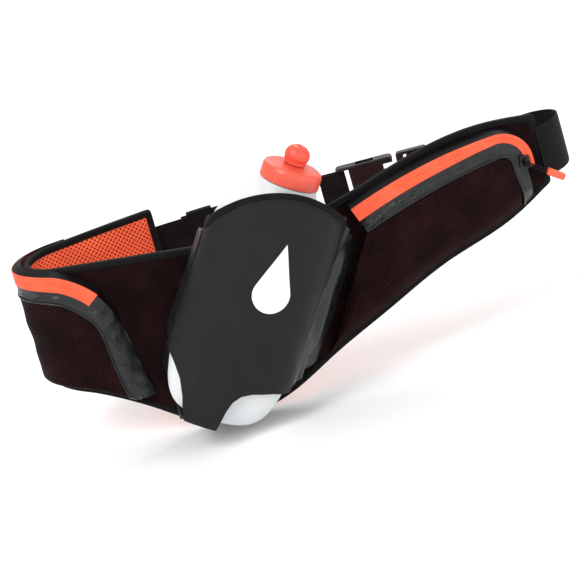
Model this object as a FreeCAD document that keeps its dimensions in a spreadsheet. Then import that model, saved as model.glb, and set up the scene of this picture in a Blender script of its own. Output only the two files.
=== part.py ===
"""Running waist pack: a padded lumbar belt with a tilted bottle holster, two zipped pockets, an elastic
strap with a side-release buckle, and a squeeze bottle.

Millimetres. +Z is up the wearer's back, the holster faces -Y, and the origin is the middle of the waist loop
at the height of the strap. In plan the belt is an oval of four tangent arcs. Every fabric layer is a ring of
that oval between two distances from its inner face, trimmed by an outline drawn in the XZ plane.
"""

import FreeCAD
import Part
import Sketcher
import math
import os
import re

from FreeCAD import Placement, Rotation, Vector

# alias, value, what it is
DRIVING = (
    ("loop_half_width", 200, "waist loop, half its inner width"),
    ("loop_half_depth", 44, "waist loop, half its inner depth"),
    ("loop_end_radius", 24, "inner radius of the loop's two ends"),
    ("lining_thick", 1.5, "spacer mesh against the wearer"),
    ("foam_thick", 3, "foam core of the belt"),
    ("face_thick", 0.8, "outer face fabric"),
    ("layer_gap", 0.2, "clearance between fabric layers"),
    ("binding_width", 5, "edge binding tape, across the edge"),
    ("binding_sink", 1, "binding's inner face, outward of the lining's inner face"),
    ("binding_thick", 3.9, "edge binding over the pinched edge"),
    ("left_top", 27, "belt's top edge at the left fold"),
    ("middle_top", 19, "belt's top edge behind the bottle"),
    ("right_top", 45, "belt's top edge over the right pocket"),
    ("right_end_top", 39, "belt's top edge at its right end"),
    ("left_bottom", -67, "belt's bottom edge at the left fold"),
    ("low_bottom", -119, "belt's bottom edge under the bottle"),
    ("right_end_bottom", -15, "belt's bottom edge at its right end"),
    ("right_end_inset", 13, "belt's right end, in from the loop's right end"),
    ("return_end", 103, "left wing's returned end, left of the middle"),
    ("return_top", 30, "top of that end"),
    ("return_bottom", -24, "bottom of that end"),
    ("right_pocket_depth", 11, "inside depth of the right pocket"),
    ("left_pocket_depth", 7.5, "inside depth of the left pocket"),
    ("cover_thick", 0.8, "pocket cover mesh"),
    ("gusset_wall", 1.2, "pocket gusset cloth"),
    ("gusset_strip", 10, "gusset that shows below the zip"),
    ("tape_half", 5.2, "zip tapes, half their joint width"),
    ("tape_thick", 0.9, "zip tape"),
    ("tape_slot", 0.5, "half the slit between the two tapes"),
    ("coil_half", 1.8, "zip coil, half its width"),
    ("zip_start_x", 41, "right zip's end beside the holster, across"),
    ("zip_start_z", 12, "and up"),
    ("zip_middle_x", 94, "right zip's middle, across"),
    ("zip_middle_z", 27, "and up"),
    ("zip_bend_inset", 49, "right zip's bend, in from the loop's right end"),
    ("zip_bend_z", 34, "height of the right zip where it bends down"),
    ("zip_bend_radius", 21, "radius of that bend"),
    ("zip_drop", 7, "straight end of the right zip below its bend"),
    ("left_zip_z", 21, "left zip's height at the fold"),
    ("left_zip_middle", 21, "left zip's middle, in from the loop's left end"),
    ("left_zip_middle_z", 15.5, "and up"),
    ("left_zip_end", 42, "left zip's front end, in from the loop's left end"),
    ("left_zip_end_z", -1, "and up"),
    ("left_pocket_back", 30, "left pocket's back edge, in from the loop's left end"),
    ("pocket_foot_rise", 8, "pocket's lower edge above the belt's"),
    ("bottle_x", -98.5, "middle of the bottle's foot, across"),
    ("bottle_z", -98.2, "middle of the bottle's foot, up"),
    ("bottle_tilt", 32.7, "bottle's lean to the right, degrees"),
    ("bottle_half_width", 46, "bottle, half its width"),
    ("bottle_half_depth", 30, "bottle, half its depth"),
    ("bottle_wall", 1.2, "bottle wall"),
    ("shoulder_height", 140, "where the bottle's shoulder starts"),
    ("neck_height", 185, "where the neck starts"),
    ("rim_height", 194, "top of the bottle's neck"),
    ("neck_radius", 18.4, "outside of the neck"),
    ("neck_bore", 16.4, "inside of the neck"),
    ("thread_height", 1.3, "thread's crest above the neck"),
    ("thread_pitch", 4, "rise of the thread in one turn"),
    ("cap_radius", 22.3, "outside of the cap's skirt"),
    ("cap_skirt", 9.6, "cap's skirt below its ceiling"),
    ("cap_top_thick", 2.6, "cap's top plate"),
    ("gasket_thick", 1.2, "cap's sealing ring"),
    ("spout_radius", 5.6, "cap's spout tube"),
    ("spout_height", 8.5, "spout tube above the cap"),
    ("spout_bore", 3, "hole in the spout tube"),
    ("nozzle_radius", 9.3, "round push-pull nozzle"),
    ("nozzle_lift", 5, "nozzle's travel from shut to open"),
    ("cup_gap", 0.6, "holster's clearance round the bottle"),
    ("cup_thick", 2.5, "holster cloth and foam"),
    ("cup_left_height", 137, "holster's top edge at its left side, up the bottle"),
    ("cup_crown_height", 185.5, "and at its crown"),
    ("cup_right_height", 169, "and at its right side"),
    ("rim_band", 5, "binding on the holster's top edge"),
    ("flare_left", 2, "left gusset's spread from the cup to the belt"),
    ("flare_right", 18, "right gusset's spread from the cup to the belt"),
    ("tongue_left", 29, "holster's bottom tongue, left of the bottle's axis"),
    ("tongue_right", 1, "and right of it"),
    ("window_left_height", 44, "left window beside the bottle's foot"),
    ("window_right_height", 34, "right window beside the bottle's foot"),
    ("pad_gap", 1.8, "holster pad, least thickness over the belt's face"),
    ("drop_radius", 14, "reflective drop's round end"),
    ("drop_length", 54, "reflective drop's length"),
    ("drop_height", 108, "middle of the drop's round end, up the bottle"),
    ("strap_width", 38, "elastic webbing"),
    ("strap_thick", 1.8, "elastic webbing"),
    ("strap_z", -5, "middle of the strap at the buckle"),
    ("strap_right_z", 9.5, "middle of the strap at the loop's right end"),
    ("strap_overlap", 19, "left strap sewn over the left wing's returned end"),
    ("buckle_x", 63, "buckle's middle, across"),
    ("buckle_rail", 3, "buckle frame beyond each edge of the webbing"),
    ("buckle_thick", 10, "female buckle shell"),
    ("buckle_travel", 26, "male buckle's travel to clear the female"),
    ("arm_squeeze", 9, "release arms' turn over that travel, degrees"),
    ("keeper_x", -68, "elastic keeper on the left strap, across"),
    ("keeper_half", 10, "half the keeper's width along the strap"),
    ("glide_x", 136, "strap adjuster on the right strap, across"),
    ("tail_end_x", -82, "free end of the left strap's tail, across"),
    ("slider_half", 5, "zip slider, half its length"),
    ("slider_rest", -6, "right slider's rest, degrees below the middle of the bend"),
    ("pull_cord", 18, "zip pull's cord"),
    ("pull_grip", 14, "zip pull's moulded grip"),
    ("pull_angle", -38, "right pull's lie, degrees from the wearer's right"),
)
UP = Vector(0, 0, 1)
BACK = Vector(0, 1, 0)
TALL = 400  # taller and deeper than anything it trims
SNUG = 0.3  # clearance of sliding hard pieces on cloth

doc = FreeCAD.newDocument("WaistPack")
sheet = doc.addObject("Spreadsheet::Sheet", "Sizes")
for line, (alias, value, note) in enumerate(DRIVING, start=1):
    sheet.set(f"A{line}", alias)
    sheet.set(f"B{line}", str(value))
    sheet.setAlias(f"B{line}", alias)
    sheet.set(f"C{line}", note)
doc.recompute()
parts = []


def bind(formula):
    """The same formula with the sheet's name before each alias."""
    return re.sub(r"[a-z]+_[a-z_]+", lambda found: "Sizes." + found.group(), formula)


def size(formula):
    """The value of a formula of the sheet's aliases."""
    return float(sheet.evalExpression(bind(formula)))


def keep(piece, label):
    """Names a finished sub-part and puts it in the list to export."""
    piece.Label = label
    parts.append(piece)
    return piece


# ---------------------------------------------------------------- plan of the belt

inner_front = size("((loop_half_width^2 - 2 * loop_half_width * loop_end_radius + loop_half_depth^2)"
                   " / (2 * (loop_half_depth - loop_end_radius)))")  # inner radius of the long arcs
arc_centre = inner_front - size("loop_half_depth")  # long arcs' centres, behind and before the middle
end_centre = size("loop_half_width - loop_end_radius")  # end arcs' centres, left and right
face_in = size("lining_thick + foam_thick + 2 * layer_gap")
face_out = face_in + size("face_thick")
strap_in = face_out + size("layer_gap")
strap_out = strap_in + size("strap_thick")
buckle_mid = strap_in + 3  # middle of the hard strap fittings, outward of the lining
tail_in = buckle_mid + 1.2
tail_out = tail_in + size("strap_thick")
outside = size("loop_half_width") + 40  # beyond the widest piece


def oval_face(distance):
    """The plan of the oval at a distance outward from the lining's inner face."""
    long_radius = inner_front + distance
    end_radius = size("loop_end_radius") + distance
    turn = math.atan2(end_centre, arc_centre)
    reach = Vector(math.sin(turn), math.cos(turn), 0)
    right, left = Vector(end_centre, 0, 0), Vector(-end_centre, 0, 0)
    corner = reach * end_radius
    mirror = Vector(corner.x, -corner.y, 0)
    long_y = long_radius - arc_centre
    front = Part.Arc(left - corner, Vector(0, -long_y, 0), right + mirror)
    back = Part.Arc(right + corner, Vector(0, long_y, 0), left - mirror)
    right_end = Part.Arc(right + mirror, right + Vector(end_radius, 0, 0), right + corner)
    left_end = Part.Arc(left - mirror, left - Vector(end_radius, 0, 0), left - corner)
    edges = [arc.toShape() for arc in (front, right_end, back, left_end)]
    return Part.Face(Part.Wire(edges))


def oval_block(distance):
    """A tall block inside the oval at that distance."""
    face = oval_face(distance)
    face.translate(Vector(0, 0, -TALL / 2))
    return face.extrude(UP * TALL)


def ring(inner, outer):
    """A tall ring of the oval between two distances."""
    return oval_block(outer).cut(oval_block(inner))


def back_place(x, z, distance, slope=0.0):
    """A placement on the loop's back arc: local X along the strap, Y outward, Z up, sloped about Y."""
    turn = math.asin(x / (inner_front + distance))
    y = (inner_front + distance) * math.cos(turn) - arc_centre
    turned = Rotation(UP, -math.degrees(turn)).multiply(Rotation(BACK, slope))
    return Placement(Vector(x, y, z), turned)


# ---------------------------------------------------------------- outlines in the XZ plane

def flat(point):
    """A point of an XZ outline as a vector."""
    return Vector(point[0], 0, point[1])


def run(*points):
    """Straight edges through points of an outline."""
    return [Part.LineSegment(flat(a), flat(b)).toShape() for a, b in zip(points, points[1:])]


def bow(start, middle, end):
    """A circular edge of an outline through three points."""
    return [Part.Arc(flat(start), flat(middle), flat(end)).toShape()]


def sweep_curve(*points):
    """Edges of tangent arcs that follow a smooth curve through the given points to 0.15 mm."""
    curve = Part.BSplineCurve()
    curve.interpolate([flat(point) for point in points])
    return [piece.toShape() for piece in curve.toBiArcs(0.15)]


def slab(edges, start=-TALL, end=TALL):
    """The closed outline of these edges, extruded along Y from start to end."""
    wire = Part.Wire(Part.sortEdges(edges)[0])
    face = Part.Face(wire)
    face.translate(BACK * start)
    return face.extrude(BACK * (end - start))


def shrunk(edges, inset, start, end):
    """The same outline moved inward by inset, extruded along Y."""
    wire = Part.Wire(Part.sortEdges(edges)[0])
    face = Part.Face(wire.makeOffset2D(-inset, 0))
    face.translate(BACK * start)
    return face.extrude(BACK * (end - start))


def belt_low():
    """Points of the belt's lower edge on the front, from its right end to the left fold."""
    right, end = size("loop_half_width - right_end_inset"), size("right_end_bottom")
    foot, low = size("bottle_x"), size("low_bottom")
    fold, left = -size("loop_half_width"), size("left_bottom")
    return ((right, end), (right - 37, end - 18), (right - 87, end - 32), (foot + 146, low + 50),
            (foot + 98, low + 28), (foot + 66, low + 11), (foot + 28, low), (foot - 12, low + 5),
            (foot - 36, low + 20), (foot - 59, low + 34), (fold + 22, left - 8), (fold, left))


def belt_front():
    """Outline of the belt's front, from beyond the left fold to its right end."""
    fold, far = -size("loop_half_width"), -outside
    right = size("loop_half_width - right_end_inset")
    top, middle = size("left_top"), size("middle_top")
    upper = sweep_curve(
        (fold, top), (size("bottle_x"), middle + 1), (0, middle - 2), (size("zip_start_x"), middle + 6.5),
        (size("zip_middle_x"), size("right_top") - 5), (right - 40, size("right_top")),
        (right, size("right_end_top")))
    low = belt_low()
    return (run((far, size("left_bottom")), (far, top), (fold, top)) + upper
            + run((right, size("right_end_top")), low[0]) + sweep_curve(*low)
            + run(low[-1], (far, size("left_bottom"))))


def belt_return():
    """Outline of the left wing where it returns behind, from beyond the fold to its end."""
    far, fold, end = -outside, -size("loop_half_width"), -size("return_end")
    top, low = size("left_top"), size("left_bottom")
    return run((far, low), (far, top), (fold, top), (end, size("return_top")), (end, size("return_bottom")),
               (fold, low), (far, low))


def wing(inset=0.0):
    """The space of the belt's front and its left return, moved in from the edges by inset."""
    front, back = belt_front(), belt_return()
    if not inset:
        return slab(front, -TALL, 0).fuse(slab(back, 0, TALL)).removeSplitter()
    return shrunk(front, inset, -TALL, 0).fuse(shrunk(back, inset, 0, TALL)).removeSplitter()


def cloth(label, shape, placement=None):
    """A fabric piece whose solid is made by the geometry functions."""
    piece = doc.addObject("Part::Feature", label)
    piece.Shape = shape
    if placement:
        piece.Placement = placement
    return keep(piece, label)


def make_belt():
    """Lining, foam, face fabric and edge binding of the belt."""
    inset = size("binding_width + layer_gap")
    inside = wing(inset)
    lining = size("lining_thick")
    foam_in = lining + size("layer_gap")
    foam_out = foam_in + size("foam_thick")
    cloth("lumbar_lining", ring(0, lining).common(inside))
    cloth("lumbar_foam", ring(foam_in, foam_out).common(inside))
    cloth("lumbar_face", ring(face_in, face_out).common(inside))
    edge = wing().cut(wing(inset - size("layer_gap")))
    sink = size("binding_sink")
    cloth("edge_binding", ring(sink, sink + size("binding_thick")).common(edge))


# ---------------------------------------------------------------- zips and pockets

def right_zip_points():
    """Start, middle and bend points of the right zip's centre line, and its arc's centre and radius."""
    start = (size("zip_start_x"), size("zip_start_z"))
    middle = (size("zip_middle_x"), size("zip_middle_z"))
    bend = (size("loop_half_width - zip_bend_inset"), size("zip_bend_z"))
    circle = Part.Arc(flat(start), flat(middle), flat(bend)).toShape().Curve
    return start, middle, bend, (circle.Center.x, circle.Center.z), circle.Radius


def right_bend():
    """Centre of the right zip's tight bend, and the angle at which its long arc runs into the bend."""
    bend, centre = right_zip_points()[2:4]
    tilt = math.atan2(bend[1] - centre[1], bend[0] - centre[0])
    tight = size("zip_bend_radius")
    return (bend[0] - tight * math.cos(tilt), bend[1] - tight * math.sin(tilt)), tilt


def offset_line(side):
    """Edges of a line beside the right zip's centre line, side outward (up) or inward, with its ends."""
    start, middle, bend, centre, radius = right_zip_points()

    def on_arc(point):
        angle = math.atan2(point[1] - centre[1], point[0] - centre[0])
        return (centre[0] + (radius + side) * math.cos(angle), centre[1] + (radius + side) * math.sin(angle))

    begin, between, top = on_arc(start), on_arc(middle), on_arc(bend)
    tight = size("zip_bend_radius")
    pivot, tilt = right_bend()
    half = tilt / 2
    over = (pivot[0] + (tight + side) * math.cos(half), pivot[1] + (tight + side) * math.sin(half))
    down = (pivot[0] + tight + side, pivot[1])
    foot = (down[0], down[1] - size("zip_drop"))
    return begin, bow(begin, between, top) + bow(top, over, down) + run(down, foot), foot


def left_offset_line(side):
    """Edges of a line beside the left zip's centre line on the front, from beyond the fold to its end."""
    edge = size("loop_half_width")
    start = (-edge, size("left_zip_z"))
    middle = (-edge + size("left_zip_middle"), size("left_zip_middle_z"))
    end = (-edge + size("left_zip_end"), size("left_zip_end_z"))
    circle = Part.Arc(flat(start), flat(middle), flat(end)).toShape().Curve
    moved = []
    for point in (start, middle, end):
        away = Vector(point[0] - circle.Center.x, 0, point[1] - circle.Center.z).normalize()
        moved.append((point[0] + side * away.x, point[1] + side * away.z))
    far = (-outside, moved[0][1])
    return far, run(far, moved[0]) + bow(*moved), moved[2]


def band(line, low, high):
    """The outline between two offsets of a zip's line."""
    low_start, low_edges, low_end = line(low)
    high_start, high_edges, high_end = line(high)
    return low_edges + high_edges + run(low_start, high_start) + run(low_end, high_end)


def right_pocket(top_side, margin):
    """Outline of the right pocket below an offset of its zip, moved in from the holster by margin."""
    start, edges, foot = offset_line(top_side)
    rise = size("pocket_foot_rise")
    low = [(x, z + rise) for x, z in belt_low()[1:5]]
    low = [(min(foot[0] - 2, low[0][0]), low[0][1]), *low[1:3], (low[3][0] + 3 + margin, low[3][1])]
    corner = (size("bottle_x") + 93 + margin, low[3][1] - 3)
    waist = (size("zip_start_x") + 2 + margin, size("zip_start_z") - 23)
    return edges + run(foot, (foot[0], low[0][1] + (foot[0] - low[0][0]) * 0.5), *low, corner, waist, start)


def left_pocket(top_side, margin):
    """Outline of the left pocket's front below an offset of its zip, a margin in from its right side."""
    far, edges, end = left_offset_line(top_side)
    low = size("left_bottom") + 9
    edge = size("loop_half_width - left_zip_end")
    knee = (-edge + 9.5 - margin, size("left_zip_end_z") - 6 - margin)
    corner = (-edge + 26 - 1.6 * margin, low - 12)
    middle = (-edge + 4 - margin, low - 13)
    return edges + run(end, knee, corner, middle, (-size("loop_half_width"), low), (-outside, low), far)


def left_pocket_behind(top_side, margin):
    """Outline of the left pocket where it goes round the fold to the back."""
    top = size("left_zip_z") + top_side
    end = -size("loop_half_width - left_pocket_back") - margin
    low = size("left_bottom") + 9
    return run((-outside, top), (end, top), (end, low + 20), (-size("loop_half_width"), low), (-outside, low),
               (-outside, top))


def behind_band(low, high):
    """The zip band's outline on the back of the left fold."""
    end = -size("loop_half_width - left_pocket_back")
    z = size("left_zip_z")
    return run((-outside, z + low), (end, z + low), (end, z + high), (-outside, z + high),
               (-outside, z + low))


def joined(front, back):
    """A front outline and a back outline as one space that meets in the plane of the fold."""
    return slab(front, -TALL, 0).fuse(slab(back, 0, TALL)).removeSplitter()


def make_right_pocket():
    """Gusset, strip, cover, tapes and coil of the right pocket."""
    floor = face_out + size("layer_gap")
    top = face_out + size("right_pocket_depth")
    tape, strip = size("tape_half"), size("gusset_strip")
    gap, wall = size("layer_gap"), size("gusset_wall")
    whole = slab(right_pocket(tape + 1.5, 0), -TALL, 0)
    hollow = slab(right_pocket(tape + 1.5 - wall, wall), -TALL, 0)
    hollow.translate(UP * wall * 0.7)
    cloth("pocket_right_gusset", ring(floor, top - gap).common(whole.cut(hollow)))
    level = ring(top, top + size("cover_thick"))
    cover = right_pocket(-tape - strip, 4)
    cloth("pocket_right_cover", level.common(slab(cover, -TALL, 0)))
    around = shrunk(cover, -gap, -TALL, 0)
    cloth("pocket_right_strip", level.common(slab(right_pocket(-tape - gap, 0), -TALL, 0).cut(around)))
    tapes = ring(top, top + size("tape_thick")).common(slab(band(offset_line, -tape, tape), -TALL, 0))
    inside = slab(right_pocket(tape + 1.2 - wall, wall + 0.4), -TALL, 0)
    right_of, above = size("zip_start_x") + 4, offset_line(0)[2][1] + 3
    open_part = Part.makeBox(outside, TALL, TALL, Vector(right_of, -TALL, above))
    slit = slab(band(offset_line, -size("tape_slot"), size("tape_slot")), -TALL, 0).common(open_part)
    cloth("zip_right_tape", tapes.cut(slit))
    coil = slab(band(offset_line, -size("coil_half"), size("coil_half")), -TALL, 0)
    cloth("zip_right_coil", ring(top - gap - 1.4, top - gap).common(coil).common(inside))


def make_left_pocket():
    """Gusset, strip, cover, tapes and coil of the left pocket, which goes round the fold."""
    floor = face_out + size("layer_gap")
    top = face_out + size("left_pocket_depth")
    tape, strip = size("tape_half"), size("gusset_strip")
    gap, wall = size("layer_gap"), size("gusset_wall")
    whole = joined(left_pocket(tape + 1.5, 0), left_pocket_behind(tape + 1.5, 0))
    hollow = joined(left_pocket(tape + 1.5 - wall, wall), left_pocket_behind(tape + 1.5 - wall, wall))
    hollow.translate(UP * wall * 0.9)
    cloth("pocket_left_gusset", ring(floor, top - gap).common(whole.cut(hollow)))
    level = ring(top, top + size("cover_thick"))
    front, behind = left_pocket(-tape - strip, 11), left_pocket_behind(-tape - strip, 3)
    cloth("pocket_left_cover", level.common(joined(front, behind)))
    around = shrunk(front, -gap, -TALL, 0).fuse(shrunk(behind, -gap, 0, TALL)).removeSplitter()
    area = joined(left_pocket(-tape - gap, 0), left_pocket_behind(-tape - gap, 0))
    cloth("pocket_left_strip", level.common(area.cut(around)))
    inside = joined(left_pocket(tape + 1.2 - wall, wall + 1), left_pocket_behind(tape + 1.2 - wall, wall + 1))
    both = joined(band(left_offset_line, -tape, tape), behind_band(-tape, tape))
    slot = size("tape_slot")
    slit = joined(band(left_offset_line, -slot, slot), behind_band(-slot, slot)).common(inside)
    cloth("zip_left_tape", ring(top, top + size("tape_thick")).common(both).cut(slit))
    half = size("coil_half")
    coil = joined(band(left_offset_line, -half, half), behind_band(-half, half))
    cloth("zip_left_coil", ring(top - gap - 1.4, top - gap).common(coil).common(inside))


# ---------------------------------------------------------------- holster

pad_front = -(size("loop_half_depth") + face_out + size("pad_gap"))
bottle_y = pad_front - size("cup_gap + bottle_half_depth")
lean = Rotation(BACK, size("bottle_tilt"))
bottle_place = Placement(Vector(size("bottle_x"), bottle_y, size("bottle_z")), lean)
flat_place = Placement(Vector(size("bottle_x"), 0, size("bottle_z")), lean)


def leaning(shape, place=flat_place):
    """A shape drawn along the bottle's own axis, moved to where the bottle leans."""
    moved = shape.copy()
    moved.Placement = place.multiply(moved.Placement)
    return moved


def cup_top(drop=0.0):
    """The holster's top edge as three points up the bottle, lowered by drop."""
    side = size("bottle_half_width + cup_gap + cup_thick") + 1
    return ((-side, size("cup_left_height") - drop), (8, size("cup_crown_height") - drop),
            (side, size("cup_right_height") - drop))


def cup_space(drop):
    """The space below the holster's top edge, lowered by drop."""
    left, crown, right = cup_top(drop)
    wide, low = right[0] + 30, -TALL / 4
    return slab(bow(left, crown, right) + run(right, (wide, right[1]), (wide, low), (-wide, low),
                                              (-wide, left[1]), left))


def windows():
    """The two openings beside the bottle's foot."""
    half = size("bottle_half_width")
    left, right = -size("tongue_left"), size("tongue_right")
    lift_left, lift_right = size("window_left_height"), size("window_right_height")
    low = -TALL / 3
    side = sweep_curve((-half - 4, lift_left), (-half + 10, lift_left * 0.62), (left + 2, 3))
    side += run((left + 2, 3), (left + 2, low), (-2 * half, low), (-2 * half, lift_left),
                (-half - 4, lift_left))
    other = sweep_curve((right, 6), (right + 4, lift_right * 0.65), (right + 17, lift_right * 0.92),
                        (half - 12, lift_right), (half + 6, lift_right))
    other += run((half + 6, lift_right), (2.4 * half, lift_right + 64), (2.4 * half, low), (right, low),
                 (right, 6))
    return slab(side).fuse(slab(other))


def cup_plan(grow):
    """Plan of the holster cup: half an ellipse round the bottle's front and straight sides to the pad."""
    wide = size("bottle_half_width") + grow
    deep = size("bottle_half_depth") + grow
    half_ellipse = Part.Ellipse(Vector(0, 0, 0), wide, deep)
    curve = Part.ArcOfEllipse(half_ellipse, math.pi, 2 * math.pi).toShape()
    back = pad_front - bottle_y
    left, right = Vector(-wide, 0, 0), Vector(wide, 0, 0)
    sides = Part.makePolygon([right, Vector(wide, back, 0), Vector(-wide, back, 0), left])
    return Part.Face(Part.Wire([curve, *sides.Edges]))


def cup_block(grow):
    """The cup's plan at a growth over the bottle, tall and along the bottle's axis."""
    face = cup_plan(grow)
    face.translate(UP * -TALL / 4)
    return face.extrude(UP * TALL)


def make_holster():
    """Pad, cup, gussets, tongue, top binding and reflective drop of the holster."""
    gap, thick = size("cup_gap"), size("cup_thick")
    shell = cup_block(gap + thick).cut(cup_block(gap))
    seam = size("bottle_half_depth") * 0.1  # cup cloth ends this far behind the bottle's middle
    front_half = Part.makeBox(TALL, TALL, TALL, Vector(-TALL / 2, seam - TALL, -TALL / 4))
    foot = -3.0  # underside of the tongue, below the bottle's foot
    above_foot = Part.makeBox(TALL, TALL, TALL, Vector(-TALL / 2, -TALL / 2, foot))
    band_height = size("rim_band")
    wall = shell.common(front_half).common(above_foot)
    holes = leaning(windows())
    body = leaning(wall, bottle_place).common(leaning(cup_space(band_height + 0.2))).cut(holes)
    cloth("holster_front", body)
    thick_shell = cup_block(gap + thick + 0.5).cut(cup_block(gap)).common(front_half)
    rim_space = cup_space(0).cut(cup_space(band_height))
    cloth("holster_rim", leaning(thick_shell, bottle_place).common(leaning(rim_space)))
    make_gusset("holster_gusset_left", -1, size("flare_left"), seam, holes)
    make_gusset("holster_gusset_right", 1, size("flare_right"), seam, holes)
    floor_front = -size("bottle_half_depth") - gap
    floor = Part.makeBox(size("tongue_left + tongue_right"), pad_front - bottle_y - floor_front, 2.4,
                         Vector(-size("tongue_left"), floor_front, foot))
    floor = floor.common(cup_block(gap - 0.2))
    cloth("holster_tongue", leaning(floor, bottle_place).cut(holes))
    make_pad()
    make_drop()


def gusset_space(side):
    """The space below one gusset's slanting top edge."""
    left, crown, right = cup_top(3)
    low = -TALL / 4
    if side > 0:
        return slab(run((right[0] - 5, right[1]), (right[0], right[1]), (right[0] + 21, right[1] - 21),
                        (right[0] + 30, low), (right[0] - 5, low), (right[0] - 5, right[1])))
    return slab(run((left[0] + 5, left[1]), (left[0], left[1] - 4), (left[0] - 12, left[1] - 30),
                    (left[0] - 20, low), (left[0] + 5, low), (left[0] + 5, left[1])))


def make_gusset(label, side, flare, seam, holes):
    """One side wall that spreads from the cup back to the belt's face."""
    wide = size("bottle_half_width + cup_gap")
    thick = size("cup_thick")
    start = seam + 0.3
    back = pad_front - bottle_y + 14
    full = (pad_front - bottle_y) - start
    spread = flare * (back - start) / full
    points = [Vector(side * wide, start, 0), Vector(side * (wide + thick), start, 0),
              Vector(side * (wide + thick + spread), back, 0), Vector(side * (wide + spread), back, 0)]
    face = Part.Face(Part.makePolygon([*points, points[0]]))
    face.translate(UP * -TALL / 4)
    wall = leaning(face.extrude(UP * TALL), bottle_place)
    wall = wall.common(leaning(gusset_space(side))).cut(holes)
    cloth(label, wall.cut(oval_block(strap_in)))


def make_pad():
    """The foam pad between the belt's curved face and the bottle's flat back."""
    wide = size("bottle_half_width + cup_gap") - 2
    left, right = size("tongue_left") - 3, size("tongue_right") + 1
    top_left = (-wide, size("cup_left_height") - 17)
    top_right = (wide, size("cup_right_height") - 22)
    crown = (2, size("cup_crown_height") - 26)
    outline = bow(top_left, crown, top_right)
    outline += run(top_right, (wide, 55), (wide - 5, 27), (wide - 15, 6), (right, -3), (-left, -3),
                   (-wide + 7, 22), (-wide, 55), top_left)
    block = Part.makeBox(TALL, TALL / 2, TALL, Vector(-TALL / 2, pad_front + 0.2, -TALL / 2))
    front = Part.makeBox(TALL, TALL / 2, TALL, Vector(-TALL / 2, -TALL / 2, -TALL / 2))
    shape = leaning(slab(outline)).common(block).common(front)
    cloth("holster_pad", shape.cut(oval_block(strap_in)))


def make_drop():
    """A water-drop shape of reflective film on the holster's front."""
    radius, length = size("drop_radius"), size("drop_length")
    skin = size("cup_gap + cup_thick")
    film = cup_block(skin + 0.35).cut(cup_block(skin + 0.05))
    centre_u, centre_h = 8.0, size("drop_height")
    tip = (centre_u, centre_h + length - radius)
    reach = math.acos(radius / (length - radius))
    across, up = radius * math.sin(reach), radius * math.cos(reach)
    right, left = (centre_u + across, centre_h + up), (centre_u - across, centre_h + up)
    outline = run(left, tip, right) + bow(right, (centre_u, centre_h - radius), left)
    front = Part.makeBox(TALL, TALL, TALL, Vector(-TALL / 2, -TALL, -TALL / 4))
    cloth("reflective_drop", leaning(film.common(front), bottle_place).common(leaning(slab(outline))))


# ---------------------------------------------------------------- strap

def strap_edges(start, end, z_start, z_end):
    """Outline of a length of strap between two places, with its middle at two heights."""
    half = size("strap_width") / 2
    return run((start, z_start - half), (end, z_end - half), (end, z_end + half), (start, z_start + half),
               (start, z_start - half))


strap_rise = size("strap_right_z - strap_z")
left_end = size("buckle_x") - 40.2  # where the left strap enters the female buckle's loop
right_start = size("buckle_x") + 50.2  # where the right strap leaves the male buckle's loop
right_span = size("loop_half_width") - right_start
strap_slope = -math.degrees(math.atan2(strap_rise, right_span))


def strap_height(x):
    """Height of the right strap's middle at a place on the back."""
    return size("strap_z") + strap_rise * (x - right_start) / right_span


def make_straps():
    """The webbing lengths, each a ring of the oval on the belt's outside."""
    z = size("strap_z")
    high = size("strap_right_z")
    left_start = -size("return_end + strap_overlap")
    standing, upper = ring(strap_in, strap_out), ring(tail_in, tail_out)
    cloth("strap_left", standing.common(slab(strap_edges(left_start, left_end, z, z), 0, TALL)))
    cloth("strap_tail", upper.common(slab(strap_edges(size("tail_end_x"), left_end, z, z), 0, TALL)))
    width = size("loop_half_width")
    half = size("strap_width") / 2
    behind = run((right_start, z - half), (width, high - half), (outside, high - half),
                 (outside, high + half),
                 (width, high + half), (right_start, z + half), (right_start, z - half))
    before = strap_edges(size("loop_half_width - right_end_inset") - 5, outside, high, high)
    cloth("strap_right", standing.common(slab(before, -TALL, 0).fuse(slab(behind, 0, TALL)).removeSplitter()))
    fold_end = size("glide_x") + 16
    fold = strap_edges(right_start, fold_end, z, strap_height(fold_end))
    cloth("strap_right_return", upper.common(slab(fold, 0, TALL)))


def strap_fitting(label, x, z, slope=0.0, sink=0.0):
    """A PartDesign body placed on the strap's back run, sunk a little toward the wearer."""
    body = doc.addObject("PartDesign::Body", label)
    body.Placement = back_place(x, z, buckle_mid - sink, slope)
    return keep(body, label)


# ---------------------------------------------------------------- PartDesign helpers

def plane(body, role):
    """One of a body's own origin planes or axes."""
    return next(item for item in body.Origin.OriginFeatures if item.Role == role)


def polygon(body, role, corners, offset=0.0):
    """A closed sketch whose corners are pairs of formulas, each held by two bound distances."""
    sketch = body.newObject("Sketcher::SketchObject", "Outline")
    sketch.AttachmentSupport = (plane(body, role), [""])
    sketch.MapMode = "FlatFace"
    sketch.AttachmentOffset = Placement(Vector(0, 0, offset), Rotation())
    add_polygon(sketch, corners)
    return sketch


def add_polygon(sketch, corners):
    """One closed loop of lines in a sketch, its corners bound to the sheet."""
    points = [Vector(size(x), size(y), 0) for x, y in corners]
    first = sketch.GeometryCount
    count = len(points)
    for index in range(count):
        sketch.addGeometry(Part.LineSegment(points[index], points[(index + 1) % count]), False)
    for index in range(count):
        line, following = first + index, first + (index + 1) % count
        sketch.addConstraint(Sketcher.Constraint("Coincident", line, 2, following, 1))
    for index, (x, y) in enumerate(corners):
        for kind, formula, value in (("DistanceX", x, points[index].x), ("DistanceY", y, points[index].y)):
            number = sketch.addConstraint(Sketcher.Constraint(kind, -1, 1, first + index, 1, value))
            sketch.setExpression(f"Constraints[{number}]", bind(formula))


def box_corners(left, right, low, high):
    """Corners of a rectangle from four formulas."""
    return [(left, low), (right, low), (right, high), (left, high)]


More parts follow.
